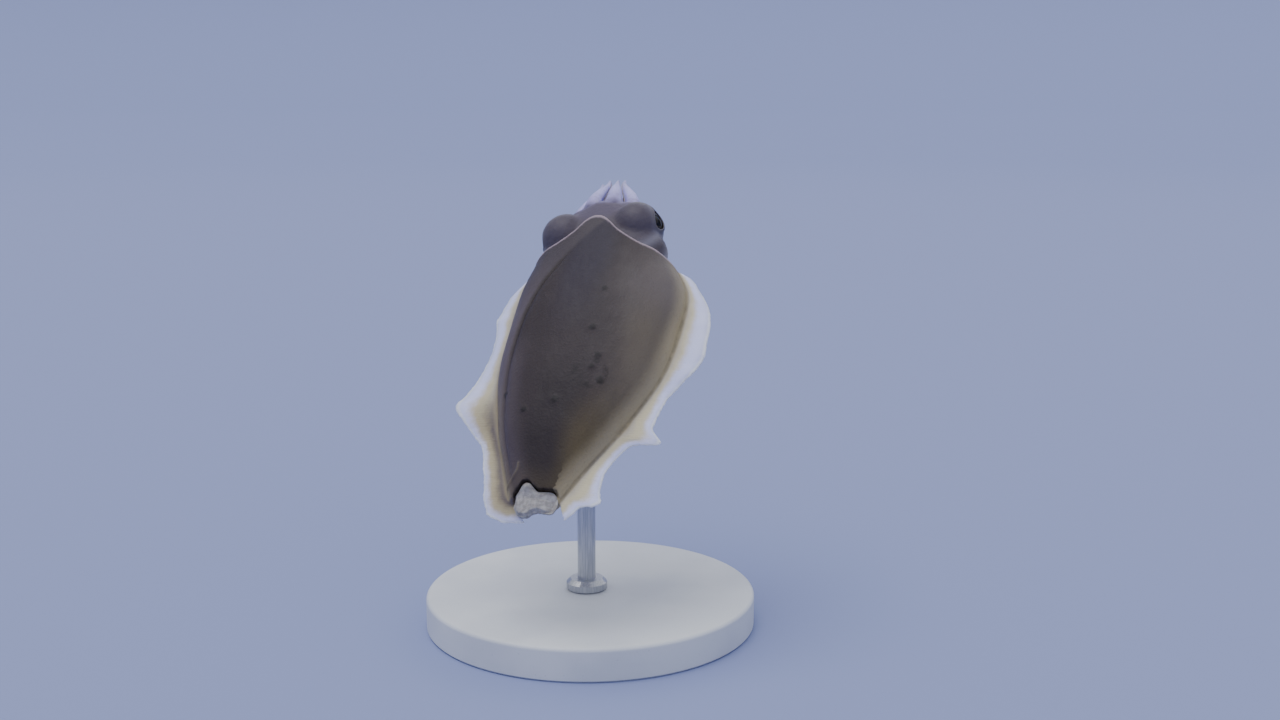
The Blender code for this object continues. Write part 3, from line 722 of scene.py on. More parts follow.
def openingAngle(turn):
    # half angle of the opening between the lids, at a turn from straight ahead towards the brow
    long, above, below = (math.radians(v) for v in eyes["opening"])
    tall = np.where(np.sin(turn) > 0, above, below)
    return 1 / np.sqrt((np.cos(turn) / long) ** 2 + (np.sin(turn) / tall) ** 2)


def headShell():
    angles = circle(head["sides"])
    side, up = squareRound(angles, head["fullness"])
    middle = bySpine(eyes["place"][0], 0, 0)
    rings = []
    for s in np.linspace(head["neck"], head["length"], head["levels"]):
        halfWidth, height, depth = along(head["stations"], s)
        scallop = head["scallop"] * max(0.0, 1 - (head["length"] - s) / 6)
        ring = bySpine(s, halfWidth * side, np.where(up > 0, height, depth) * up)
        inwards = unit(bySpine(s, 0, 0) - ring)
        ring = ring + inwards * (scallop * (0.5 - 0.5 * np.cos(8 * angles)))[:, None]
        for eye in (1, -1):
            centre, facing, _, _ = eyeFrame(eye)
            target = centre + facing * eyes["radius"]
            reach = np.linalg.norm(ring - target, axis=-1)
            rise = eyes["browRise"] * bump(reach, eyes["browSpread"])
            ring = ring + unit(target - middle) * rise[:, None]
        rings.append(ring)
    return loft("headShell", rings)


def ballShell(centre, radius):
    turns = circle(96)
    tilts = np.linspace(-math.pi / 2 + 0.03, math.pi / 2 - 0.03, 56)
    return loft("ball", [centre + radius * hoop(np.cos(tilt), np.sin(tilt), turns) for tilt in tilts])


def orbitShells():
    # a ball of skin round each eyeball and the dome above it
    shells = []
    forward, _, toBack = spineAxes(eyes["place"][0])
    radius, sink, rise, ahead = eyes["dome"]
    for side in (1, -1):
        centre, facing, _, _ = eyeFrame(side)
        shells.append(ballShell(centre - facing * eyes["orbitSink"], eyes["orbitRadius"]))
        shells.append(ballShell(centre - facing * sink + toBack * rise + forward * ahead, radius))
    return shells


def windowShell(side):
    # the cutter for the opening between the lids
    centre, facing, ahead, upwards = eyeFrame(side)
    turns = circle(72)
    tilt = openingAngle(turns)[:, None]
    rays = facing * np.cos(tilt) + spokes(turns, ahead, upwards) * np.sin(tilt)
    return loft("window", [centre + rays * reach for reach in eyes["window"]])


def lidShell(side):
    # the rolled rim of the lids, heavier above the eye
    centre, facing, ahead, upwards = eyeFrame(side)
    turns, rolls = circle(120), circle(20)
    over = np.maximum(np.sin(turns), 0)
    outside, more = np.radians(eyes["lidTilt"])
    tilt = openingAngle(turns) + outside + more * over
    out = spokes(turns, ahead, upwards)
    ray = facing * np.cos(tilt)[:, None] + out * np.sin(tilt)[:, None]
    aside = unit(out * np.cos(tilt)[:, None] - facing * np.sin(tilt)[:, None])
    heavy = over * eyes["upperLidExtra"]
    points = (
        (centre + ray * (eyes["lidReach"] + 0.3 * heavy[:, None]))[:, None]
        + ray[:, None] * (np.outer(eyes["lidThickness"] + 0.5 * heavy, np.sin(rolls)))[..., None]
        + aside[:, None] * (np.outer(eyes["lidWidth"] + heavy, np.cos(rolls)))[..., None]
    )
    count, sides = points.shape[:2]
    faces = []
    for i in range(count):
        for j in range(sides):
            k, m = (i + 1) % count, (j + 1) % sides
            faces.append((i * sides + j, i * sides + m, k * sides + m, k * sides + j))
    return newMesh("lid", points.reshape(-1, 3), faces)


def armFrame(pair, side, share):
    # an arm's centre, outward and sideways ways and half sizes at a share of its length
    place, length, halfWidth, halfThick = pair
    turn = math.radians(place)
    share = np.asarray(share, float)
    s = head["length"] + arms["gap"] + length * share
    spread = arms["spread"] * math.sin(2.4 * place + 1.7 * side) * np.maximum(share, 0) ** 2
    taper = curves(arms["taper"], share)[0] + spread
    centre = bySpine(
        s, side * arms["ringSide"] * taper * math.sin(turn), arms["ringRise"] * taper * math.cos(turn))
    forward, toLeft, toBack = spineAxes(s)
    outward = unit(toLeft * side * math.sin(turn) + toBack * math.cos(turn))
    narrowing = np.clip(1 - share, 0, 1) ** arms["narrowing"]
    width = arms["tipRadius"] + (halfWidth - arms["tipRadius"]) * narrowing
    thick = arms["tipRadius"] + (halfThick - arms["tipRadius"]) * narrowing
    return centre, outward, np.cross(forward, outward), width, thick


def armShell(pair, side):
    shares = np.linspace(-arms["sunk"] / pair[1], 1, arms["rings"])
    centre, outward, sideways, width, thick = armFrame(pair, side, shares)
    turns = circle(arms["sides"])
    across, out = squareRound(turns, arms["fullness"])
    web = 1 + arms["web"] * bump(shares, 0.07)
    keel = 1 + arms["keel"] * np.maximum(np.sin(turns), 0) ** 6
    rings = (
        centre[:, None]
        + outward[:, None] * (thick[:, None] * out * keel)[..., None]
        + sideways[:, None] * ((width * web)[:, None] * across)[..., None]
    )
    middle = rings[-1:].mean(1, keepdims=True)
    tip = middle + (rings[-1:] - middle) * arms["tipShare"] + (centre[-1] - centre[-2]) * 0.6
    return loft("armShell", np.concatenate([rings, tip]))


def mouthShell():
    turns = circle(60)
    folds = 1 + head["mouthFoldDepth"] * np.cos(head["mouthFolds"] * turns)
    rings = []
    for share in np.linspace(-0.5, 1, 18):
        radius = head["mouthRadius"] * (1 - head["mouthTaper"] * max(share, 0) ** 1.6) * folds
        s = head["length"] + head["mouthLength"] * share
        rings.append(bySpine(s, radius * np.cos(turns), radius * np.sin(turns)))
    return loft("mouth", rings)


def funnelShell():
    turns = circle(funnel["sides"])
    last = funnel["stations"][-1][0]

    def ring(s, inset):
        drop, halfWidth, halfHeight = along(funnel["stations"], s)
        return bySpine(s, (halfWidth - inset) * np.cos(turns), (halfHeight - inset) * np.sin(turns) - drop)

    rings = [ring(s, 0.0) for s in np.linspace(0, last, 50)]
    rings += [ring(last + 0.12, 0.25), ring(last + 0.1, 0.5), ring(last - 0.15, funnel["wall"])]
    rings += [ring(s, funnel["wall"] * 1.1) for s in np.linspace(last - 0.8, last - funnel["depth"], 8)]
    return loft("funnelShell", rings)


# The one skin

skinSet = {
    "bodyVoxel": 0.3,
    "skullVoxel": 0.36,
    "headVoxel": 0.24,
    "bodyFaces": 96000,
    "headFaces": 92000,
    # relief of the skin, each layer of grain by strength, scale, seed and stretch
    "swell": (0.2, 0.11, 31),
    "bodyGrain": ((0.05, 0.55, 33, (0.45, 1, 1)), (0.03, 1.6, 37)),
    "finGrain": (0.05, 0.8, 35, (1.6, 0.35, 1)),
    "headSwell": (0.16, 0.16, 41),
    "headGrain": (0.05, 1.1, 47),
    "armGrain": (0.05, 1.2, 51, (1.8, 0.6, 0.6)),
    "neckFolds": 0.09,
    "spotRise": 0.14,
    "flapRise": 0.28,
    "rootFurrow": 0.16,
    "foldFurrow": 0.42,
    "foldStep": 0.22,
    # folds round the eyes: angle from the way the eye looks, depth
    "eyeFolds": ((46.0, 0.04), (60.0, 0.05)),
}
# the distance in millimetres given to points that a mark is nowhere near
farAway = 9.0


def holeLine():
    # the hole's ragged edge: to the left, how far forward
    left = np.linspace(holeEdge[0][0], holeEdge[-1][0], 90)
    edge = curves(holeEdge, left)[0]
    ragged = sum(layer(onLine(left), *kind) for kind in holeNoise)
    return left, edge + ragged * ease(edge, 0.3, 1.5)


def rearDistance(points, line):
    # distance of every point of the rear end from a line of places along and to the left
    away = np.full(len(points), farAway)
    near = np.nonzero((points[:, 0] < 10) & (points[:, 2] > -0.5))[0]
    for k in near:
        away[k] = np.sqrt(np.min(np.sum((line - points[k, :2]) ** 2, -1)))
    return away


def tornLine():
    left, edge = holeLine()
    return np.stack([np.interp(np.linspace(0, 89, 400), range(90), v) for v in (edge, left)], -1)


def flapLine():
    steps = np.linspace(0, len(tornFlap) - 1, 200)
    return along([(i, *place) for i, place in enumerate(tornFlap)], steps)


def bodyMarks(points):
    # marks of mantle and fins at every point: lip, fold line, line along the fins' roots, share of a fin
    x, y, z = points.T
    halfWidth, height, depth, shift = mantleSizes(x)
    side = np.clip((y - shift) / halfWidth, -1, 1)
    up = z / np.where(z > 0, height, depth)
    lip = (1 - ease(mantleEdge(side, up) - x, 0.4, 0.95)) * ease(x, 50, 56)
    foldLeft = curves(mantle["fold"], x)[0]
    fold = np.where(z > 1.0, y - foldLeft, np.where(y > 0, farAway, -farAway))
    finShare = np.zeros(len(points))
    rootLine = np.full(len(points), farAway)
    for which in (1, -1):
        sheet, out = finSheet(which)
        rows, columns = sheet.shape[:2]
        surface = BVHTree.FromPolygons(sheet.reshape(-1, 3).tolist(), gridFaces(rows, columns))
        tree = lineTree(sheet[:, 0] + np.array((0, 0.35 * which, fins["rootThickness"] / 2)))
        near = np.nonzero((y * which > halfWidth * 0.55) | (x < 1.0))[0]
        for k in near:
            spot, _, index, _ = surface.find_nearest(points[k], 2.2)
            if index is not None:
                row, column = divmod(index, columns - 1)
                start, step = sheet[row, column], sheet[row, column + 1] - sheet[row, column]
                part = min(max(np.dot(np.array(spot) - start, step) / np.dot(step, step), 0), 1)
                finShare[k] = max(finShare[k], out[column] + part * (out[column + 1] - out[column]))
            rootLine[k] = min(rootLine[k], tree.find(points[k])[2])
    return lip, fold, finShare, rootLine


def mantleSkin():
    shell = cutOrJoin(mantleShell(), [holeCutter()], "DIFFERENCE")
    mesh = oneSkin("bodySkin", [shell, finShell(1), finShell(-1)], skinSet["bodyVoxel"])
    points = pointsOf(mesh)
    lip, fold, finShare, rootLine = bodyMarks(points)
    relax(mesh, bump(rootLine, 1.3), 6, 0.6)
    relax(mesh, 1.0 - 0.7 * ease(finShare, 0.7, 1.0), 6, 0.5)
    points, normals = pointsOf(mesh), normalsOf(mesh)
    x, y, z = points.T
    back = ease(normals[:, 2], 0.1, 0.6)
    onFin = ease(finShare, 0.02, 0.12)
    onMantle = 1 - onFin
    inFront = 1 - ease(x, 60, 67)
    lift = -skinSet["foldFurrow"] * bump(fold, 0.6) * back * onMantle * ease(x, 0, 10) * inFront
    step = (1 - ease(fold, -2.5, 0.0)) * ease(y, -16, -6) * back * onMantle
    lift += skinSet["foldStep"] * step * ease(x, 6, 16) * (1 - ease(x, 58, 68))
    lift -= skinSet["rootFurrow"] * bump(rootLine, 0.5) * back
    lift += layer(points, *skinSet["swell"]) * onMantle * (1 - lip)
    for grains in skinSet["bodyGrain"]:
        lift += layer(points, *grains) * onMantle
    lift += layer(points, *skinSet["finGrain"]) * ease(finShare, 0.1, 0.4)
    for spotX, spotY, radius in bodySpots:
        lift += skinSet["spotRise"] * bump(np.hypot(x - spotX, y - spotY), radius * 1.1) * back
    lift += skinSet["flapRise"] * bump(rearDistance(points, flapLine()), 0.32) * back * onMantle
    setPoints(mesh, points + normals * lift[:, None])
    mesh = thinned(mesh, skinSet["bodyFaces"])
    points = pointsOf(mesh)
    lip, fold, finShare, rootLine = bodyMarks(points)
    fill(mesh, place=points, lip=lip, fold=fold, fin=finShare, root=rootLine,
         torn=rearDistance(points, tornLine()), flap=rearDistance(points, flapLine()),
         headPart=0.0, lid=farAway, dome=eyes["domeFar"])
    return mesh


def lidDistance(points):
    # distance in millimetres from the rims of the lids, less than 0 towards the eye, and the angle
    # from the way the eye looks
    nearest = np.full(len(points), farAway)
    angle = np.full(len(points), 180.0)
    for side in (1, -1):
        centre, facing, ahead, upwards = eyeFrame(side)
        ray = unit(points - centre)
        tilt = np.arccos(np.clip(ray @ facing, -1, 1))
        turn = np.arctan2(ray @ upwards, ray @ ahead)
        away = ease(np.linalg.norm(points - centre, axis=-1), 6.5, 9)
        nearest = np.minimum(nearest, (tilt - openingAngle(turn)) * 5.4 * (1 - away) + farAway * away)
        angle = np.minimum(angle, np.degrees(tilt) * (1 - away) + 180 * away)
    return nearest, angle


def domeDistance(points):
    # distance from the darkest place of the nearer dome
    forward, _, toBack = spineAxes(eyes["place"][0])
    raised, behind, sunk = eyes["darkest"]
    nearest = np.full(len(points), eyes["domeFar"])
    for side in (1, -1):
        centre, facing, _, _ = eyeFrame(side)
        darkest = centre + toBack * raised - forward * behind - facing * sunk
        nearest = np.minimum(nearest, np.linalg.norm(points - darkest, axis=-1))
    return nearest


def headSkin():
    mesh = cutOrJoin(headShell(), orbitShells() + [mouthShell()], "UNION")
    mesh = oneSkin("skull", [mesh], skinSet["skullVoxel"])
    relax(mesh, 1.0, 14, 0.7)
    mesh = cutOrJoin(mesh, [windowShell(1), windowShell(-1)], "DIFFERENCE")
    mesh = cutOrJoin(mesh, [lidShell(1), lidShell(-1)], "UNION")
    sockets = [ballShell(eyeFrame(side)[0], eyes["radius"] + eyes["clearance"]) for side in (1, -1)]
    mesh = cutOrJoin(mesh, sockets, "DIFFERENCE")
    limbs = [armShell(pair, side) for pair in arms["pairs"] for side in (1, -1)]
    mesh = oneSkin("headSkin", [mesh, funnelShell()] + limbs, skinSet["headVoxel"])
    points = pointsOf(mesh)
    s, left, up = spinePlace(points)
    lid, angle = lidDistance(points)
    crown = bump(s - head["length"] - 0.5, 2.4)
    relax(mesh, crown, 14, 0.6)
    relax(mesh, 0.8 * bump(lid - 2.6, 1.4) * (np.abs(left) > 6), 8, 0.6)
    relax(mesh, 1.0, 4, 0.5)
    points, normals = pointsOf(mesh), normalsOf(mesh)
    onHead = 1 - ease(s, 25.5, 29.5)
    lift = layer(points, *skinSet["headSwell"]) * onHead
    for ring, depth in skinSet["eyeFolds"]:
        wave = ring + 5 * grain(points, 0.22, 43 + ring)
        lift -= depth * bump(angle - wave, 3.2) * (0.6 + 0.6 * grain(points, 0.3, 44 + ring))
    lift += layer(points, *skinSet["headGrain"]) * onHead * ease(lid, 1.0, 2.5)
    folds = skinSet["neckFolds"] * np.sin(s * 2.6 + 2.5 * grain(points, 0.2, 49))
    lift += folds * (1 - ease(s, 9, 15)) * ease(up, -2, 3)
    lift += layer(points, *skinSet["armGrain"]) * ease(s, 28, 31)
    setPoints(mesh, points + normals * lift[:, None])
    mesh = thinned(mesh, skinSet["headFaces"])
    points = pointsOf(mesh)
    s, left, up = spinePlace(points)
    lid, angle = lidDistance(points)
    fill(mesh, place=np.stack([s, left, up], -1), lip=0.0, fold=farAway, fin=0.0, root=farAway, torn=farAway,
         flap=farAway, headPart=1.0, lid=lid, dome=domeDistance(points))
    return mesh


# small dark spots of the back: along, to the left, radius
bodySpots = (
    (52.3, -6.6, 0.75), (41.4, -6.1, 0.85), (34.1, -8.8, 0.9), (27.8, -10.5, 1.0),
    (22.3, -1.0, 0.9), (19.8, 6.2, 0.7), (25.1, 13.0, 0.7), (31.0, -8.0, 0.7),
)
# as seen on screen
skinColours = {
    "back": (0.21, 0.175, 0.185),
    "violet": (0.175, 0.147, 0.205),
    "dark": (0.165, 0.135, 0.15),
    # greyer front on the right, partly skin tone and partly painted reflected light
    "front": (0.40, 0.37, 0.36),
    "rear": (0.375, 0.33, 0.235),
    "band": (0.37, 0.33, 0.35),
    "bandFront": (0.27, 0.24, 0.26),
    "olive": (0.46, 0.42, 0.35),
    "cream": (0.66, 0.61, 0.49),
    "belly": (0.90, 0.88, 0.86),
    "bellyCloud": (0.76, 0.73, 0.74),
    "lip": (0.67, 0.60, 0.64),
    "spot": (0.10, 0.09, 0.10),
    # dark lines along the fins' roots, and painted shade along the fold
    "line": (0.17, 0.14, 0.13),
    "finRoot": (0.66, 0.63, 0.60),
    "finMiddle": (0.78, 0.745, 0.63),
    "finMargin": (0.82, 0.83, 0.99),
    "finRim": (1.0, 1.0, 1.0),
    "head": (0.33, 0.30, 0.33),
    "crown": (0.345, 0.31, 0.38),
    "dome": (0.32, 0.29, 0.33),
    "domeEdge": (0.47, 0.46, 0.51),
    "lid": (0.36, 0.34, 0.36),
    "arm": (0.70, 0.68, 0.90),
    "armBase": (0.63, 0.60, 0.80),
    "armUnder": (0.82, 0.80, 0.86),
    "freckle": (0.13, 0.09, 0.08),
    # torn edge, partly its own colour and partly painted shadow
    "torn": (0.12, 0.08, 0.07),
}


def skinMarks(skin):
    # the wires that all colours of the skin share
    marks = SimpleNamespace(place=skin.attribute("place", 1), where=skin.coordinates())
    for name in ("fin", "root", "fold", "lip", "lid", "dome", "torn", "flap", "headPart"):
        setattr(marks, name, skin.attribute(name))
    marks.x, marks.y, marks.z = skin.parts(marks.place)
    marks.cloud = skin.noise(marks.place, 0.10, 3.0)
    marks.mottle = skin.noise(marks.place, 0.45, 4.0, 0.6)
    marks.shift = marks.cloud * 6.0 - 3.0
    marks.onFin = skin.ramp(marks.fin + marks.mottle * 0.06, 0.04, 0.22)
    return marks


def mantleColour(skin, paint, marks):
    # dark back, greyer to the right in front, partly as skin tone and partly as painted reflected light,
    # yellow-brown behind, a warmer band past the fold, cream along the fins' roots
    ramp, x, y, shift = skin.ramp, marks.x, marks.y, marks.shift
    band = skin.mix(ramp(x, 44.0, 66.0), paint.band, paint.bandFront)
    flank = ramp(x, 66.0, 50.0, 0.6, 1.0)
    return skin.coats(
        paint.back,
        # partly painted light: the right side in front lighter, as where light is reflected
        (ramp(y + shift, -5.0, -20.0) * ramp(x, 40.0, 56.0, 0.4, 1.0), paint.front),
        (ramp(x + shift, 36.0, 60.0) * ramp(abs(y + shift * 0.4), 9.0, 2.0) * 0.9, paint.violet),
        (ramp(x + shift, 38.0, 24.0) * ramp(abs(y + 1.5 + shift * 0.4), 8.5, 3.0) * 0.8, paint.dark),
        (ramp(x + y * 0.55 + shift, 24.0, 4.0) * ramp(y, -1.5, -9.0), paint.rear),
        (ramp(y + shift, -8.0, -19.0) * ramp(x, 57.0, 42.0) * 0.5, paint.olive),
        (ramp(marks.fold, -7.0, -1.0) * ramp(x, 44.0, 30.0) * 0.5, band),
        (ramp(marks.fold, -0.4, 1.6) * 0.9, band),
        (ramp(x, 9.0, 1.0) * 0.35, paint.rear),
        (ramp(marks.fold, -0.6, 2.2) * ramp(x, 34.0, 14.0) * 0.8, paint.olive),
        (ramp(marks.root + marks.cloud, 6.2, 1.0) * ramp(y, 2.0, -6.0) * flank, paint.cream),
        (ramp(marks.root, 2.2, 0.6) * ramp(y, -2.0, 4.0) * 0.6, paint.cream),
    )


def headColour(skin, paint, marks, belly):
    # on head and arms, place holds the distance along the spine, to its left and to its back
    ramp, x, cloud, mottle, dome = skin.ramp, marks.x, marks.cloud, marks.mottle, marks.dome
    under = ramp(marks.z + marks.shift * 0.4, 3.5, -4.5)
    head = skin.coats(
        paint.head,
        (ramp(x + cloud * 4.0, 16.0, 24.0), paint.crown),
        # painted light: the domes lighter towards their edges, darkest at a place set back and down
        (ramp(dome + cloud, 10.0, 7.0) * ramp(abs(marks.y), 5.0, 10.0), paint.domeEdge),
        (ramp(dome + cloud * 1.5, 8.6, 5.4) * 0.95, paint.dome),
        (under * 0.8, belly),
        (ramp(marks.lid, 1.3, 0.3) * 0.8, paint.lid),
    )
    arms = skin.coats(
        paint.armBase,
        (ramp(x + mottle * 4.0, 29.0, 40.0), paint.arm),
        (under, paint.armUnder),
        (ramp(skin.noise(marks.place, 0.6, 3.0), 0.42, 0.72) * ramp(x, 44.0, 28.0) * 0.3, paint.crown),
    )
    return skin.mix(ramp(x + mottle * 3.0, 26.0, 31.0), head, arms)


def finColour(skin, paint, marks):
    # cream at the root, clear lavender at the margin, and a white rim of painted light at the very edge
    ramp, x = skin.ramp, marks.x
    mottled = marks.fin + marks.mottle * 0.3
    tailSide = ramp(x, 30.0, 18.0) * ramp(marks.y, 2.0, 6.0)
    return skin.coats(
        paint.finRoot,
        (ramp(mottled, 0.15, 0.50), paint.finMiddle),
        (ramp(mottled, 1.05, 0.80) * tailSide * 0.8, paint.cream),
        (ramp(mottled, 0.75, 0.25) * tailSide * 0.9, paint.olive),
        (ramp(mottled, 0.62, 0.20) * tailSide * 0.9, paint.band),
        (ramp(mottled + ramp(x, 22.0, 36.0, 0.0, 0.22) - tailSide * 0.12, 0.60, 1.0), paint.finMargin),
        # painted highlight: the fin's edge painted white as if light shone through it
        (ramp(marks.fin, 0.86, 0.98) * 0.85, paint.finRim),
    )


def spotShare(skin, marks):
    # the spots of the back and a faint ring, with ragged edges
    drift = skin.node("ShaderNodeTexNoise", {}, {"Vector": marks.place, "Scale": 0.8}, 1)
    flat = skin.vectorSum("ADD", marks.place, skin.stretched(drift, (1.2, 1.2, 0.0)))
    flat = skin.stretched(flat, (1.0, 1.0, 0.0))
    ring = skin.distance(flat, (30.3, -7.2, 0.0))
    spots = (1.0 - skin.ramp(abs(ring - 3.4), 0.3, 1.1)) * skin.ramp(marks.mottle, 0.42, 0.62) * 0.7
    for spotX, spotY, radius in bodySpots:
        away = skin.distance(flat, (spotX + 0.6, spotY + 0.6, 0.0))
        spots = spots.top(skin.ramp(away, radius * 1.5, radius * 0.4))
    return spots


def withMarks(skin, paint, marks, colour):
    # lip, painted shade along the fold, lines along the roots, torn edge darkened partly as its own colour
    # and partly as painted shadow, painted highlight on the ridge beside it, spots, freckles
    ramp, x, z, mottle = skin.ramp, marks.x, marks.z, marks.mottle
    onBody = 1.0 - marks.headPart
    # painted shade: a dark line where the skin folds over the cuttlebone's edge, on the left only
    paintedFoldShade = (1.0 - ramp(abs(marks.fold + 0.1), 0.1, 1.0)) * ramp(x, 10.0, 46.0, 0.05, 0.6)
    rootLine = ramp(marks.root, 0.70, 0.15) * (mottle * 0.9 + 0.1) * ramp(marks.y, 3.0, -3.0, 0.1, 0.75)
    freckles = ramp(skin.cells(marks.where, 2100.0) + mottle * 0.35, 0.46, 0.26) * ramp(mottle, 0.40, 0.60)
    freckles = freckles * (1.0 - marks.onFin * 0.85) * (1.0 - marks.lip) * ramp(z, -5.0, 1.0, 0.15, 1.0)
    return skin.coats(
        colour,
        (marks.lip * 0.85, paint.lip),
        (paintedFoldShade * ramp(x, 67.0, 57.0) * onBody, paint.line),
        (rootLine * ramp(x, 62.0, 48.0, 0.4, 1.0), paint.line),
        # the torn edge: its own dark colour, deepened by painted shadow in the gap round the bone
        (ramp(marks.torn + mottle * 1.1, 0.75, 0.45) * 0.8, paint.torn),
        # painted highlight: the ridge beside the hole lightened where light catches its edge
        ((1.0 - ramp(marks.flap + mottle * 0.3, 0.2, 0.6)) * 0.5, paint.olive),
        (spotShare(skin, marks) * onBody * ramp(z, 2.0, 4.0) * 0.75, paint.spot),
        (freckles * 0.5, paint.freckle),
    )


def skinRelief(skin, marks):
    # wrinkles and pores, and fine rays on the fins
    rays = skin.noise(skin.stretched(marks.place, (2.6, 0.30, 0.4)), 1.0, 3.0)
    pores = skin.cells(marks.where, 1500.0)
    fine = skin.noise(marks.place, 2.4, 4.0, 0.6)
    height = fine * 0.5 + pores * 0.35 * (1.0 - marks.onFin) + rays * marks.onFin * 0.8
    return skin.relief(height, 0.00022, 0.55)


def skinFinish():
    skin = Finish("moistSkin")
    paint = SimpleNamespace(**{name: shade(*seen) for name, seen in skinColours.items()})
    marks = skinMarks(skin)
    belly = skin.mix(skin.ramp(marks.mottle, 0.40, 0.66) * 0.7, paint.belly, paint.bellyCloud)
    colour = skin.coats(
        mantleColour(skin, paint, marks),
        (skin.ramp(marks.z + marks.cloud * 2.0, 0.4, -2.2), belly),
        (marks.headPart, headColour(skin, paint, marks, belly)),
        (marks.onFin, finColour(skin, paint, marks)),
    )
    colour = withMarks(skin, paint, marks, colour)
    normal = skinRelief(skin, marks)
    rough = marks.mottle * 0.22 + 0.40
    skin.set(baseColor=colour, roughness=rough, normal=normal, subsurfaceWeight=0.12, subsurfaceScale=0.0012,
             subsurfaceRadius=(1.0, 0.62, 0.5), coatWeight=0.05, coatRoughness=0.25, ior=1.38,
             specularIorLevel=0.3)
    # thin skin of the fins and arms, which lets light through
    margin = skin.ramp(marks.fin + marks.mottle * 0.16, 0.80, 1.10, 1.0, 0.8)
    tips = skin.ramp(marks.x, 36.0, 60.0, 0.0, 0.3) * marks.headPart
    thin = skin.node("ShaderNodeBsdfPrincipled", {"subsurface_method": "RANDOM_WALK"}, {
        "Base Color": colour, "Roughness": rough, "Normal": normal, "Alpha": margin - tips,
        "Subsurface Weight": 0.7, "Subsurface Scale": 0.002, "Subsurface Radius": (1.0, 0.95, 0.9),
        "Coat Weight": 0.1, "Coat Roughness": 0.25, "IOR": 1.38,
    })
    share = marks.onFin.top(marks.headPart * skin.ramp(marks.x, 27.0, 34.0))
    both = skin.node("ShaderNodeMixShader", {}, {0: share, 1: Wire(skin, skin.shader.outputs[0]), 2: thin})
    skin.tree.links.new(both.socket, skin.tree.nodes["Material Output"].inputs["Surface"])
    return skin.material


print("shaping the skin")
bodyPart = mantleSkin()
headPart = headSkin()
print("mantle and fins", len(bodyPart.polygons), "head and arms", len(headPart.polygons))
skinMesh = cutOrJoin(bodyPart, [headPart], "UNION")
skinMesh.name = "skin"
print("one skin", len(skinMesh.polygons), [a.name for a in skinMesh.attributes])
skin = dressed("skin", skinMesh, skinFinish())
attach(skin, "root")
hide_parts("mantle", "head", "funnel", "fin_left", "fin_right",
            *("arm_%s_%d" % (side, number) for side in ("left", "right") for number in (1, 2, 3, 4)))


# Suckers: four rows on the inner face of each arm, smaller towards its tip

suckers = {
    "leans": (-40.0, -14.0, 14.0, 40.0),
    "spacing": 2.15,
    "firstShare": 0.03,
    "lastShare": 0.97,
    "radius": 0.40,
    "tipRadius": 0.10,
    "height": 0.42,
    # shares of the radius: foot, inner rim, bottom of the bowl in the rim; share of the height: its depth
    "foot": 0.72,
    "rim": 0.66,
    "bowl": 0.6,
    "bowlDepth": 0.5,
    "sunk": 0.35,
    "sides": 8,
    "variation": 0.12,
    "seed": 7,
}


def suckerPlaces():
    # places, ways and sizes of the suckers
    spots, ways, sizes = [], [], []
    for pair in arms["pairs"]:
        for side in (1, -1):
            share = suckers["firstShare"]
            while share < suckers["lastShare"]:
                left = (1 - share) ** arms["narrowing"]
                size = suckers["tipRadius"] + (suckers["radius"] - suckers["tipRadius"]) * left
                for k, lean in enumerate(suckers["leans"]):
                    place = share + (0.5 if k % 2 else 0.0) * suckers["spacing"] * size / pair[1]
                    if place > suckers["lastShare"]:
                        continue
                    centre, outward, sideways, width, thick = armFrame(pair, side, place)
                    tilt = math.radians(lean)
                    out = unit(-outward * math.cos(tilt) + sideways * math.sin(tilt))
                    spots.append(centre - outward * thick * math.cos(tilt) + sideways * width * math.sin(tilt)
                                 - out * size * suckers["sunk"])
                    ways.append(out)
                    sizes.append(size / suckers["radius"])
                share += suckers["spacing"] * size / pair[1]
    return np.array(spots), np.array(ways), np.array(sizes)


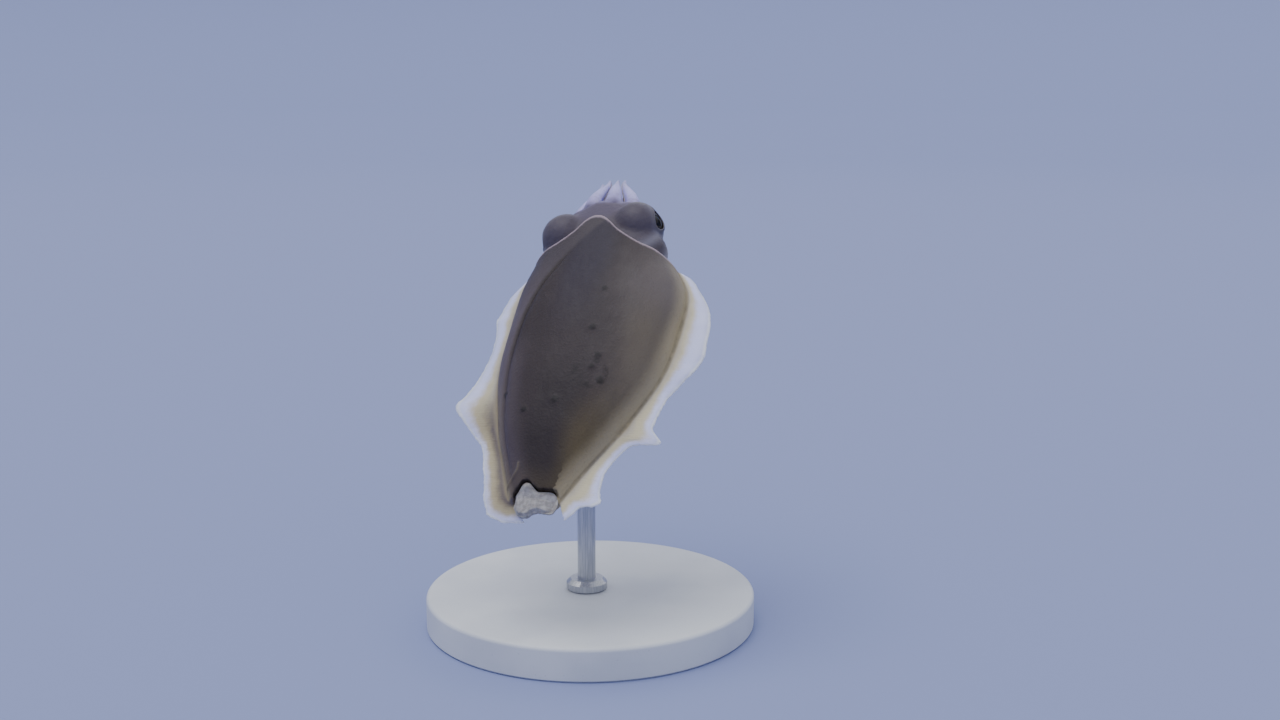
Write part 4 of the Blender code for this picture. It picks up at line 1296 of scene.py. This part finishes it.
def suckerTree(finish):
    tree = bpy.data.node_groups.new("suckerRows", "GeometryNodeTree")
    face = tree.interface
    face.new_socket("Geometry", in_out="INPUT", socket_type="NodeSocketGeometry")
    sockets = {}
    for name in ("sides", "radius", "height", "variation", "seed"):
        kind = "NodeSocketInt" if name in ("sides", "seed") else "NodeSocketFloat"
        sockets[name] = face.new_socket(name, in_out="INPUT", socket_type=kind).identifier
    face.new_socket("Geometry", in_out="OUTPUT", socket_type="NodeSocketGeometry")

    def add(kind, inputs=None, **settings):
        made = tree.nodes.new(kind)
        for key, value in settings.items():
            setattr(made, key, value)
        for key, value in (inputs or {}).items():
            if isinstance(value, bpy.types.NodeSocket):
                tree.links.new(value, made.inputs[key])
            else:
                made.inputs[key].default_value = value
        return made

    def combine(operation, first, second):
        return add("ShaderNodeMath", {0: first, 1: second}, operation=operation).outputs[0]

    def pushed(mesh, chosen, depth, width):
        # the mesh with its chosen face pushed in and narrowed, and that face
        push = add("GeometryNodeExtrudeMesh", {
            "Mesh": mesh, "Selection": chosen, "Offset Scale": depth}, mode="FACES").outputs
        narrow = add("GeometryNodeScaleElements", {
            "Geometry": push["Mesh"], "Selection": push["Top"], "Scale": width})
        return narrow.outputs[0], push["Top"]

    given = add("NodeGroupInput").outputs
    cup = add("GeometryNodeMeshCone", {
        "Vertices": given["sides"], "Side Segments": 1, "Fill Segments": 1, "Depth": given["height"],
        "Radius Top": given["radius"], "Radius Bottom": combine("MULTIPLY", given["radius"], suckers["foot"]),
    }, fill_type="NGON").outputs
    mesh, rim = pushed(cup["Mesh"], cup["Top"], 0.0, suckers["rim"])
    mesh, _ = pushed(mesh, rim, combine("MULTIPLY", given["height"], -suckers["bowlDepth"]), suckers["bowl"])
    way = add("GeometryNodeInputNamedAttribute", {"Name": "way"}, data_type="FLOAT_VECTOR").outputs[0]
    size = add("GeometryNodeInputNamedAttribute", {"Name": "size"}, data_type="FLOAT").outputs[0]
    turn = add("FunctionNodeAlignRotationToVector", {"Vector": way}, axis="Z").outputs[0]
    chance = add("FunctionNodeRandomValue", {
        2: combine("SUBTRACT", 1.0, given["variation"]), 3: combine("ADD", 1.0, given["variation"]),
        "Seed": given["seed"]}).outputs[1]
    spread = add("GeometryNodeInstanceOnPoints", {
        "Points": given["Geometry"], "Instance": mesh, "Rotation": turn,
        "Scale": combine("MULTIPLY", size, chance)})
    real = add("GeometryNodeRealizeInstances", {"Geometry": spread.outputs[0]})
    painted = add("GeometryNodeSetMaterial", {"Geometry": real.outputs[0], "Material": finish})
    add("NodeGroupOutput", {"Geometry": painted.outputs[0]})
    return tree, sockets


def suckerFinish():
    finish = Finish("suckerSkin")
    where = finish.coordinates()
    cloud = finish.noise(where, 900.0, 3.0)
    colour = finish.mix(finish.ramp(cloud, 0.3, 0.7), shade(0.66, 0.60, 0.64), shade(0.80, 0.76, 0.74))
    normal = finish.relief(finish.noise(where, 5200.0, 2.0), 0.00006)
    finish.set(baseColor=colour, roughness=cloud * 0.2 + 0.32, normal=normal, coatWeight=0.2,
               coatRoughness=0.2, subsurfaceWeight=0.1, subsurfaceScale=0.0008, ior=1.38)
    return finish.material


spots, ways, sizes = suckerPlaces()
rowsMesh = bpy.data.meshes.new("suckers")
rowsMesh.from_pydata(spots.tolist(), [], [])
fill(rowsMesh, way=ways, size=sizes)
rowsObject = placeObject("suckers", rowsMesh)
tree, sockets = suckerTree(suckerFinish())
change = rowsObject.modifiers.new("rows", "NODES")
change.node_group = tree
for name, identifier in sockets.items():
    change[identifier] = suckers[name]
suckerMesh = settled(rowsObject)
suckerMesh.transform(swim)
suckerMesh.shade_smooth()
suckerMesh.set_sharp_from_angle(angle=math.radians(50))
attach(rowsObject, "root")
print("suckers", len(spots), "faces", len(suckerMesh.polygons))


# Eyes: a ball whose iris carries the sunk W of the pupil

iris = {
    "rings": 110,
    "turns": 160,
    "halfLength": 2.45,
    "wave": 0.55,
    "period": 2.8,
    "thickness": 0.82,
    "depth": 0.18,
    "uvSpan": 20.0,
    # angles from the way the eye looks: of the fine rings, and of the coarse ones behind them
    "front": (0.2, 44.0),
    "back": (46.0, 179.8),
    "slack": 0.02,
}


def pupilShare(p, q):
    # 1 inside the W, 0 outside, from places ahead and up in millimetres
    middle = iris["wave"] * np.cos(2 * math.pi * p / iris["period"]) + 0.05
    thick = iris["thickness"] * np.sqrt(np.clip(1 - (p / iris["halfLength"]) ** 4, 0, 1))
    return ease(thick - np.abs(q - middle), -0.06, 0.1)


def eyeBall(side):
    centre, facing, ahead, upwards = eyeFrame(side)
    tilts = np.concatenate([np.linspace(*iris["front"], iris["rings"]), np.linspace(*iris["back"], 50)])
    turns = circle(iris["turns"])
    out = spokes(turns, ahead, upwards)
    rings = []
    for tilt in np.radians(tilts):
        p = eyes["radius"] * math.sin(tilt) * np.cos(turns)
        q = eyes["radius"] * math.sin(tilt) * np.sin(turns)
        sunk = iris["depth"] * pupilShare(p, q) if tilt < 0.8 else 0 * p
        ray = facing * math.cos(tilt) + out * math.sin(tilt)
        rings.append(centre + ray * (eyes["radius"] - iris["slack"] - sunk)[:, None])
    mesh = loft("eyeBall", rings)
    uv = mesh.uv_layers.new(name="iris")
    points = pointsOf(mesh)
    ray = unit(points - centre)
    places = eyes["radius"] * np.stack([ray @ ahead, ray @ upwards], -1)
    places[ray @ facing < 0] *= 3
    corners = np.empty(len(mesh.loops), int)
    mesh.loops.foreach_get("vertex_index", corners)
    uv.data.foreach_set("uv", (places[corners] / iris["uvSpan"] + 0.5).ravel())
    return mesh


def eyeFinish():
    eye = Finish("wetEye")
    uv = eye.coordinates(2)
    u, v, _ = eye.parts(uv)
    p = (u - 0.5) * iris["uvSpan"]
    q = (v - 0.5) * iris["uvSpan"]
    middle = (p * (2 * math.pi / iris["period"])).cosine() * iris["wave"] + 0.05
    reach = p * (1 / iris["halfLength"])
    thick = (1.0 - reach * reach * reach * reach).top(0.0).squareRoot() * iris["thickness"]
    inside = thick - abs(q - middle)
    rays = eye.noise(eye.stretched(uv, (90.0, 30.0, 1.0)), 1.0, 4.0, 0.65)
    ring = eye.distance(uv, (0.5, 0.5, 0.0)) * iris["uvSpan"]
    colour = eye.coats(
        shade(0.10, 0.09, 0.085),
        (eye.ramp(rays, 0.3, 0.7), shade(0.23, 0.205, 0.175)),
        (eye.ramp(q + rays * 0.8, 0.6, 1.8) * 0.7, shade(0.10, 0.085, 0.08)),
        (eye.ramp(inside, -0.2, -0.06) * 0.30, shade(0.42, 0.39, 0.33)),
        (eye.ramp(ring, 2.2, 2.9), shade(0.05, 0.045, 0.045)),
        (eye.ramp(inside, -0.03, 0.04), shade(0.03, 0.03, 0.035)),
    )
    normal = eye.relief(rays, 0.00008, 0.4)
    eye.set(baseColor=colour, roughness=rays * 0.25 + 0.2, normal=normal, coatWeight=0.3, coatRoughness=0.06,
            coatIor=1.33, ior=1.38, specularIorLevel=0.05)
    return eye.material


wetEye = eyeFinish()
for side, word in ((1, "left"), (-1, "right")):
    eyeObject = dressed("eyeball_" + word, eyeBall(side), wetEye)
    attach(eyeObject, "root")
    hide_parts("eye_" + word)
print("eyes")


# The end of the cuttlebone

bone = {
    "columns": 150,
    "rows": 120,
    "sink": 0.7,
    # to the left, where the front edge and the worn rear edge lie
    "edges": (
        (-5.0, -0.2, -1.6), (-4.75, 0.7, -2.4), (-4.3, 1.5, -2.9), (-3.6, 1.85, -3.1), (-2.6, 1.75, -3.0),
        (-1.5, 1.55, -2.9), (-0.5, 1.5, -3.0), (0.3, 2.0, -3.4), (0.9, 2.55, -4.0), (1.6, 3.1, -4.3),
        (2.4, 3.3, -4.3), (3.1, 3.1, -4.1), (3.6, 2.6, -3.8), (4.0, 2.0, -3.4), (4.5, 1.4, -2.8),
        (5.1, 0.6, -1.9),
    ),
    # along, to the left, radius, rise
    "knob": (2.0, 2.4, 1.2, 0.6),
    "layers": 0.01,
    # worn rear edge and chalky surface: strength, scale and seed of the noise
    "fray": ((0.12, 2.4, 61), (0.05, 6.0, 62)),
    "roughness": ((0.10, 0.7, 63), (0.015, 3.1, 65)),
    "wear": 0.5,
    "rounding": 0.7,
    "underside": 0.3,
    "thinnest": 0.4,
}


def boneShell():
    left = np.linspace(bone["edges"][0][0], bone["edges"][-1][0], bone["columns"])
    front, rear = curves(bone["edges"], left)
    for kind in bone["fray"]:
        rear = rear + layer(onLine(left), *kind)
    share = np.linspace(0, 1, bone["rows"])
    x = rear[:, None] + (front - rear)[:, None] * share
    y = np.broadcast_to(left[:, None], x.shape)
    halfWidth, height, _, shift = mantleSizes(np.maximum(x, 0))
    crown = height * np.sqrt(np.maximum(1 - ((y - shift) / halfWidth) ** 2, 0.1)) - bone["sink"]
    wear = bone["wear"] * (1 - share) ** 2
    points = np.stack([x, y, x * 0], -1).reshape(-1, 3)
    rough = sum(layer(points, *kind) for kind in bone["roughness"]).reshape(x.shape)
    layers = bone["layers"] * np.sin((x - 0.05 * y**2) * 7.5 + 3 * grain(points, 0.5, 67).reshape(x.shape))
    knobX, knobY, knobSize, knobRise = bone["knob"]
    knob = knobRise * bump(np.hypot(x - knobX, y - knobY), knobSize)
    edge = np.minimum(share, 1 - share) * (front - rear)[:, None]
    edge = np.minimum(edge, np.minimum(y - left[0], left[-1] - y))
    rounded = bone["rounding"] * (1 - ease(edge, 0.0, 1.0)) ** 2 * (1 - 0.5 * share[None, :] ** 3)
    top = crown - wear * 0.8 + rough + layers * ease(edge, 0.2, 1.0) + knob - rounded
    low = bone["underside"] + wear * 0.4 + 0.2 * rounded
    upper = np.stack([x, y, np.maximum(top, low + bone["thinnest"])], -1)
    lower = np.stack([x, y, low], -1)
    return slab("bone", upper, lower)


def boneFinish():
    chalk = Finish("cuttleboneChalk")
    place = chalk.attribute("place", 1)
    cloud = chalk.noise(place, 0.7, 4.0, 0.6)
    layers = chalk.node("ShaderNodeTexWave", {"wave_type": "BANDS", "bands_direction": "X"}, {
        "Vector": place, "Scale": 0.9, "Distortion": 3.0, "Detail": 2.0, "Detail Scale": 0.8}, 1)
    pits = chalk.cells(chalk.coordinates(), 5200.0)
    colour = chalk.coats(
        shade(0.53, 0.515, 0.51),
        (chalk.ramp(cloud, 0.35, 0.7), shade(0.69, 0.675, 0.665)),
        (chalk.ramp(layers, 0.45, 0.95) * 0.15, shade(0.56, 0.54, 0.52)),
        (chalk.ramp(pits, 0.25, 0.1) * 0.2, shade(0.50, 0.48, 0.46)),
    )
    normal = chalk.relief(layers * 0.3 + cloud * 0.3 + pits * 0.3, 0.00006)
    chalk.set(baseColor=colour, roughness=cloud * 0.15 + 0.75, normal=normal, subsurfaceWeight=0.05,
              subsurfaceScale=0.0006)
    return chalk.material


boneMesh = boneShell()
fill(boneMesh, place=pointsOf(boneMesh))
boneObject = dressed("bone_end", boneMesh, boneFinish())
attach(boneObject, "root")
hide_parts("cuttlebone_end")
print("cuttlebone end")


# Display stand

stand = {"radius": 40.0, "height": 8.0, "bevel": 1.0, "segments": 192}


def standBase():
    profile = [(2.0, 0.0), (20.0, 0.0), (stand["radius"] - 0.5, 0.0), (stand["radius"], 0.5)]
    for k in range(9):
        turn = math.pi / 2 * k / 8
        profile.append((stand["radius"] - stand["bevel"] * (1 - math.cos(turn)),
                        stand["height"] - stand["bevel"] * (1 - math.sin(turn))))
    profile += [(30.0, stand["height"]), (15.0, stand["height"]), (2.0, stand["height"])]
    return loft("standBase", [hoop(radius, height, circle(stand["segments"])) for radius, height in profile])


def baseFinish():
    satin = Finish("satinPale")
    where = satin.coordinates()
    cloud = satin.noise(where, 45.0, 3.0)
    fine = satin.noise(where, 2600.0, 3.0, 0.6)
    dust = satin.cells(where, 420.0)
    colour = satin.coats(
        shade(0.80, 0.81, 0.83),
        (satin.ramp(cloud, 0.3, 0.7), shade(0.85, 0.86, 0.87)),
        (satin.ramp(dust, 0.10, 0.04) * 0.3, shade(0.66, 0.67, 0.70)),
    )
    normal = satin.relief(fine, 0.00006)
    satin.set(baseColor=colour, roughness=cloud * 0.18 + 0.34 + fine * 0.06, normal=normal)
    return satin.material


def rodFinish():
    steel = Finish("brushedSteel")
    brushed = steel.noise(steel.stretched(steel.coordinates(), (5200.0, 5200.0, 160.0)), 1.0, 3.0, 0.6)
    colour = steel.mix(steel.ramp(brushed, 0.3, 0.7), shade(0.66, 0.67, 0.69), shade(0.80, 0.80, 0.81))
    normal = steel.relief(brushed, 0.00003)
    steel.set(baseColor=colour, metallic=1.0, roughness=brushed * 0.2 + 0.24, normal=normal)
    return steel.material


baseObject = dressed("stand_disc", standBase(), baseFinish(), Matrix.Scale(mm, 4))
baseObject.data.set_sharp_from_angle(angle=math.radians(40))
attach(baseObject, "root")
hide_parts("stand_base")
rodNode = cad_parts["stand_rod"]
steel = rodFinish()
for slotOfRod in rodNode.material_slots:
    slotOfRod.material = steel
print("stand")


# Stage and light

stage = {
    "colour": shade(0.53, 0.57, 0.74),
    # radius and height of the floor, which rises at its rim
    "rings": ((0.02, 0), (0.3, 0), (1.0, 0), (3.0, 0), (4.0, 0.12), (4.8, 0.5), (5.4, 1.2), (5.7, 2.2)),
    "sky": (0.86, 0.90, 1.0, 1.0),
    "skyStrength": 0.86,
}
rings = [hoop(radius, height, circle(96)) for radius, height in stage["rings"]]
work = bmesh.new()
rows = [[work.verts.new(p) for p in ring] for ring in rings]
work.faces.new(rows[0])
for low, high in zip(rows, rows[1:]):
    for j in range(len(low)):
        k = (j + 1) % len(low)
        work.faces.new((low[j], low[k], high[k], high[j]))
floorMesh = bpy.data.meshes.new("floor")
work.to_mesh(floorMesh)
work.free()
floorFinish = Finish("paleFloor")
floorFinish.set(baseColor=stage["colour"], roughness=0.8)
floor = dressed("floor", floorMesh, floorFinish.material, Matrix.Identity(4))

world = bpy.data.worlds.new("studio")
bpy.context.scene.world = world
world.use_nodes = True
sky = world.node_tree.nodes["Background"].inputs
sky["Color"].default_value = stage["sky"]
sky["Strength"].default_value = stage["skyStrength"]
# name, where it shines from, softness in degrees, strength
suns = (
    ("key", (-0.25, -0.15, 1.0), 45.0, 1.55),
    ("fill", (0.55, -0.8, 0.35), 80.0, 0.4),
    ("front", (0.15, 0.95, 0.15), 70.0, 0.6),
    ("spark", (0.71, 0.67, 0.21), 14.0, 0.9),
)
for name, place, softness, strength in suns:
    light = bpy.data.lights.new(name, "SUN")
    light.angle = math.radians(softness)
    light.energy = strength
    lamp = bpy.data.objects.new(name, light)
    lamp.location = place
    lamp.rotation_euler = (-Vector(place)).to_track_quat("-Z", "Y").to_euler()
    bpy.context.scene.collection.objects.link(lamp)
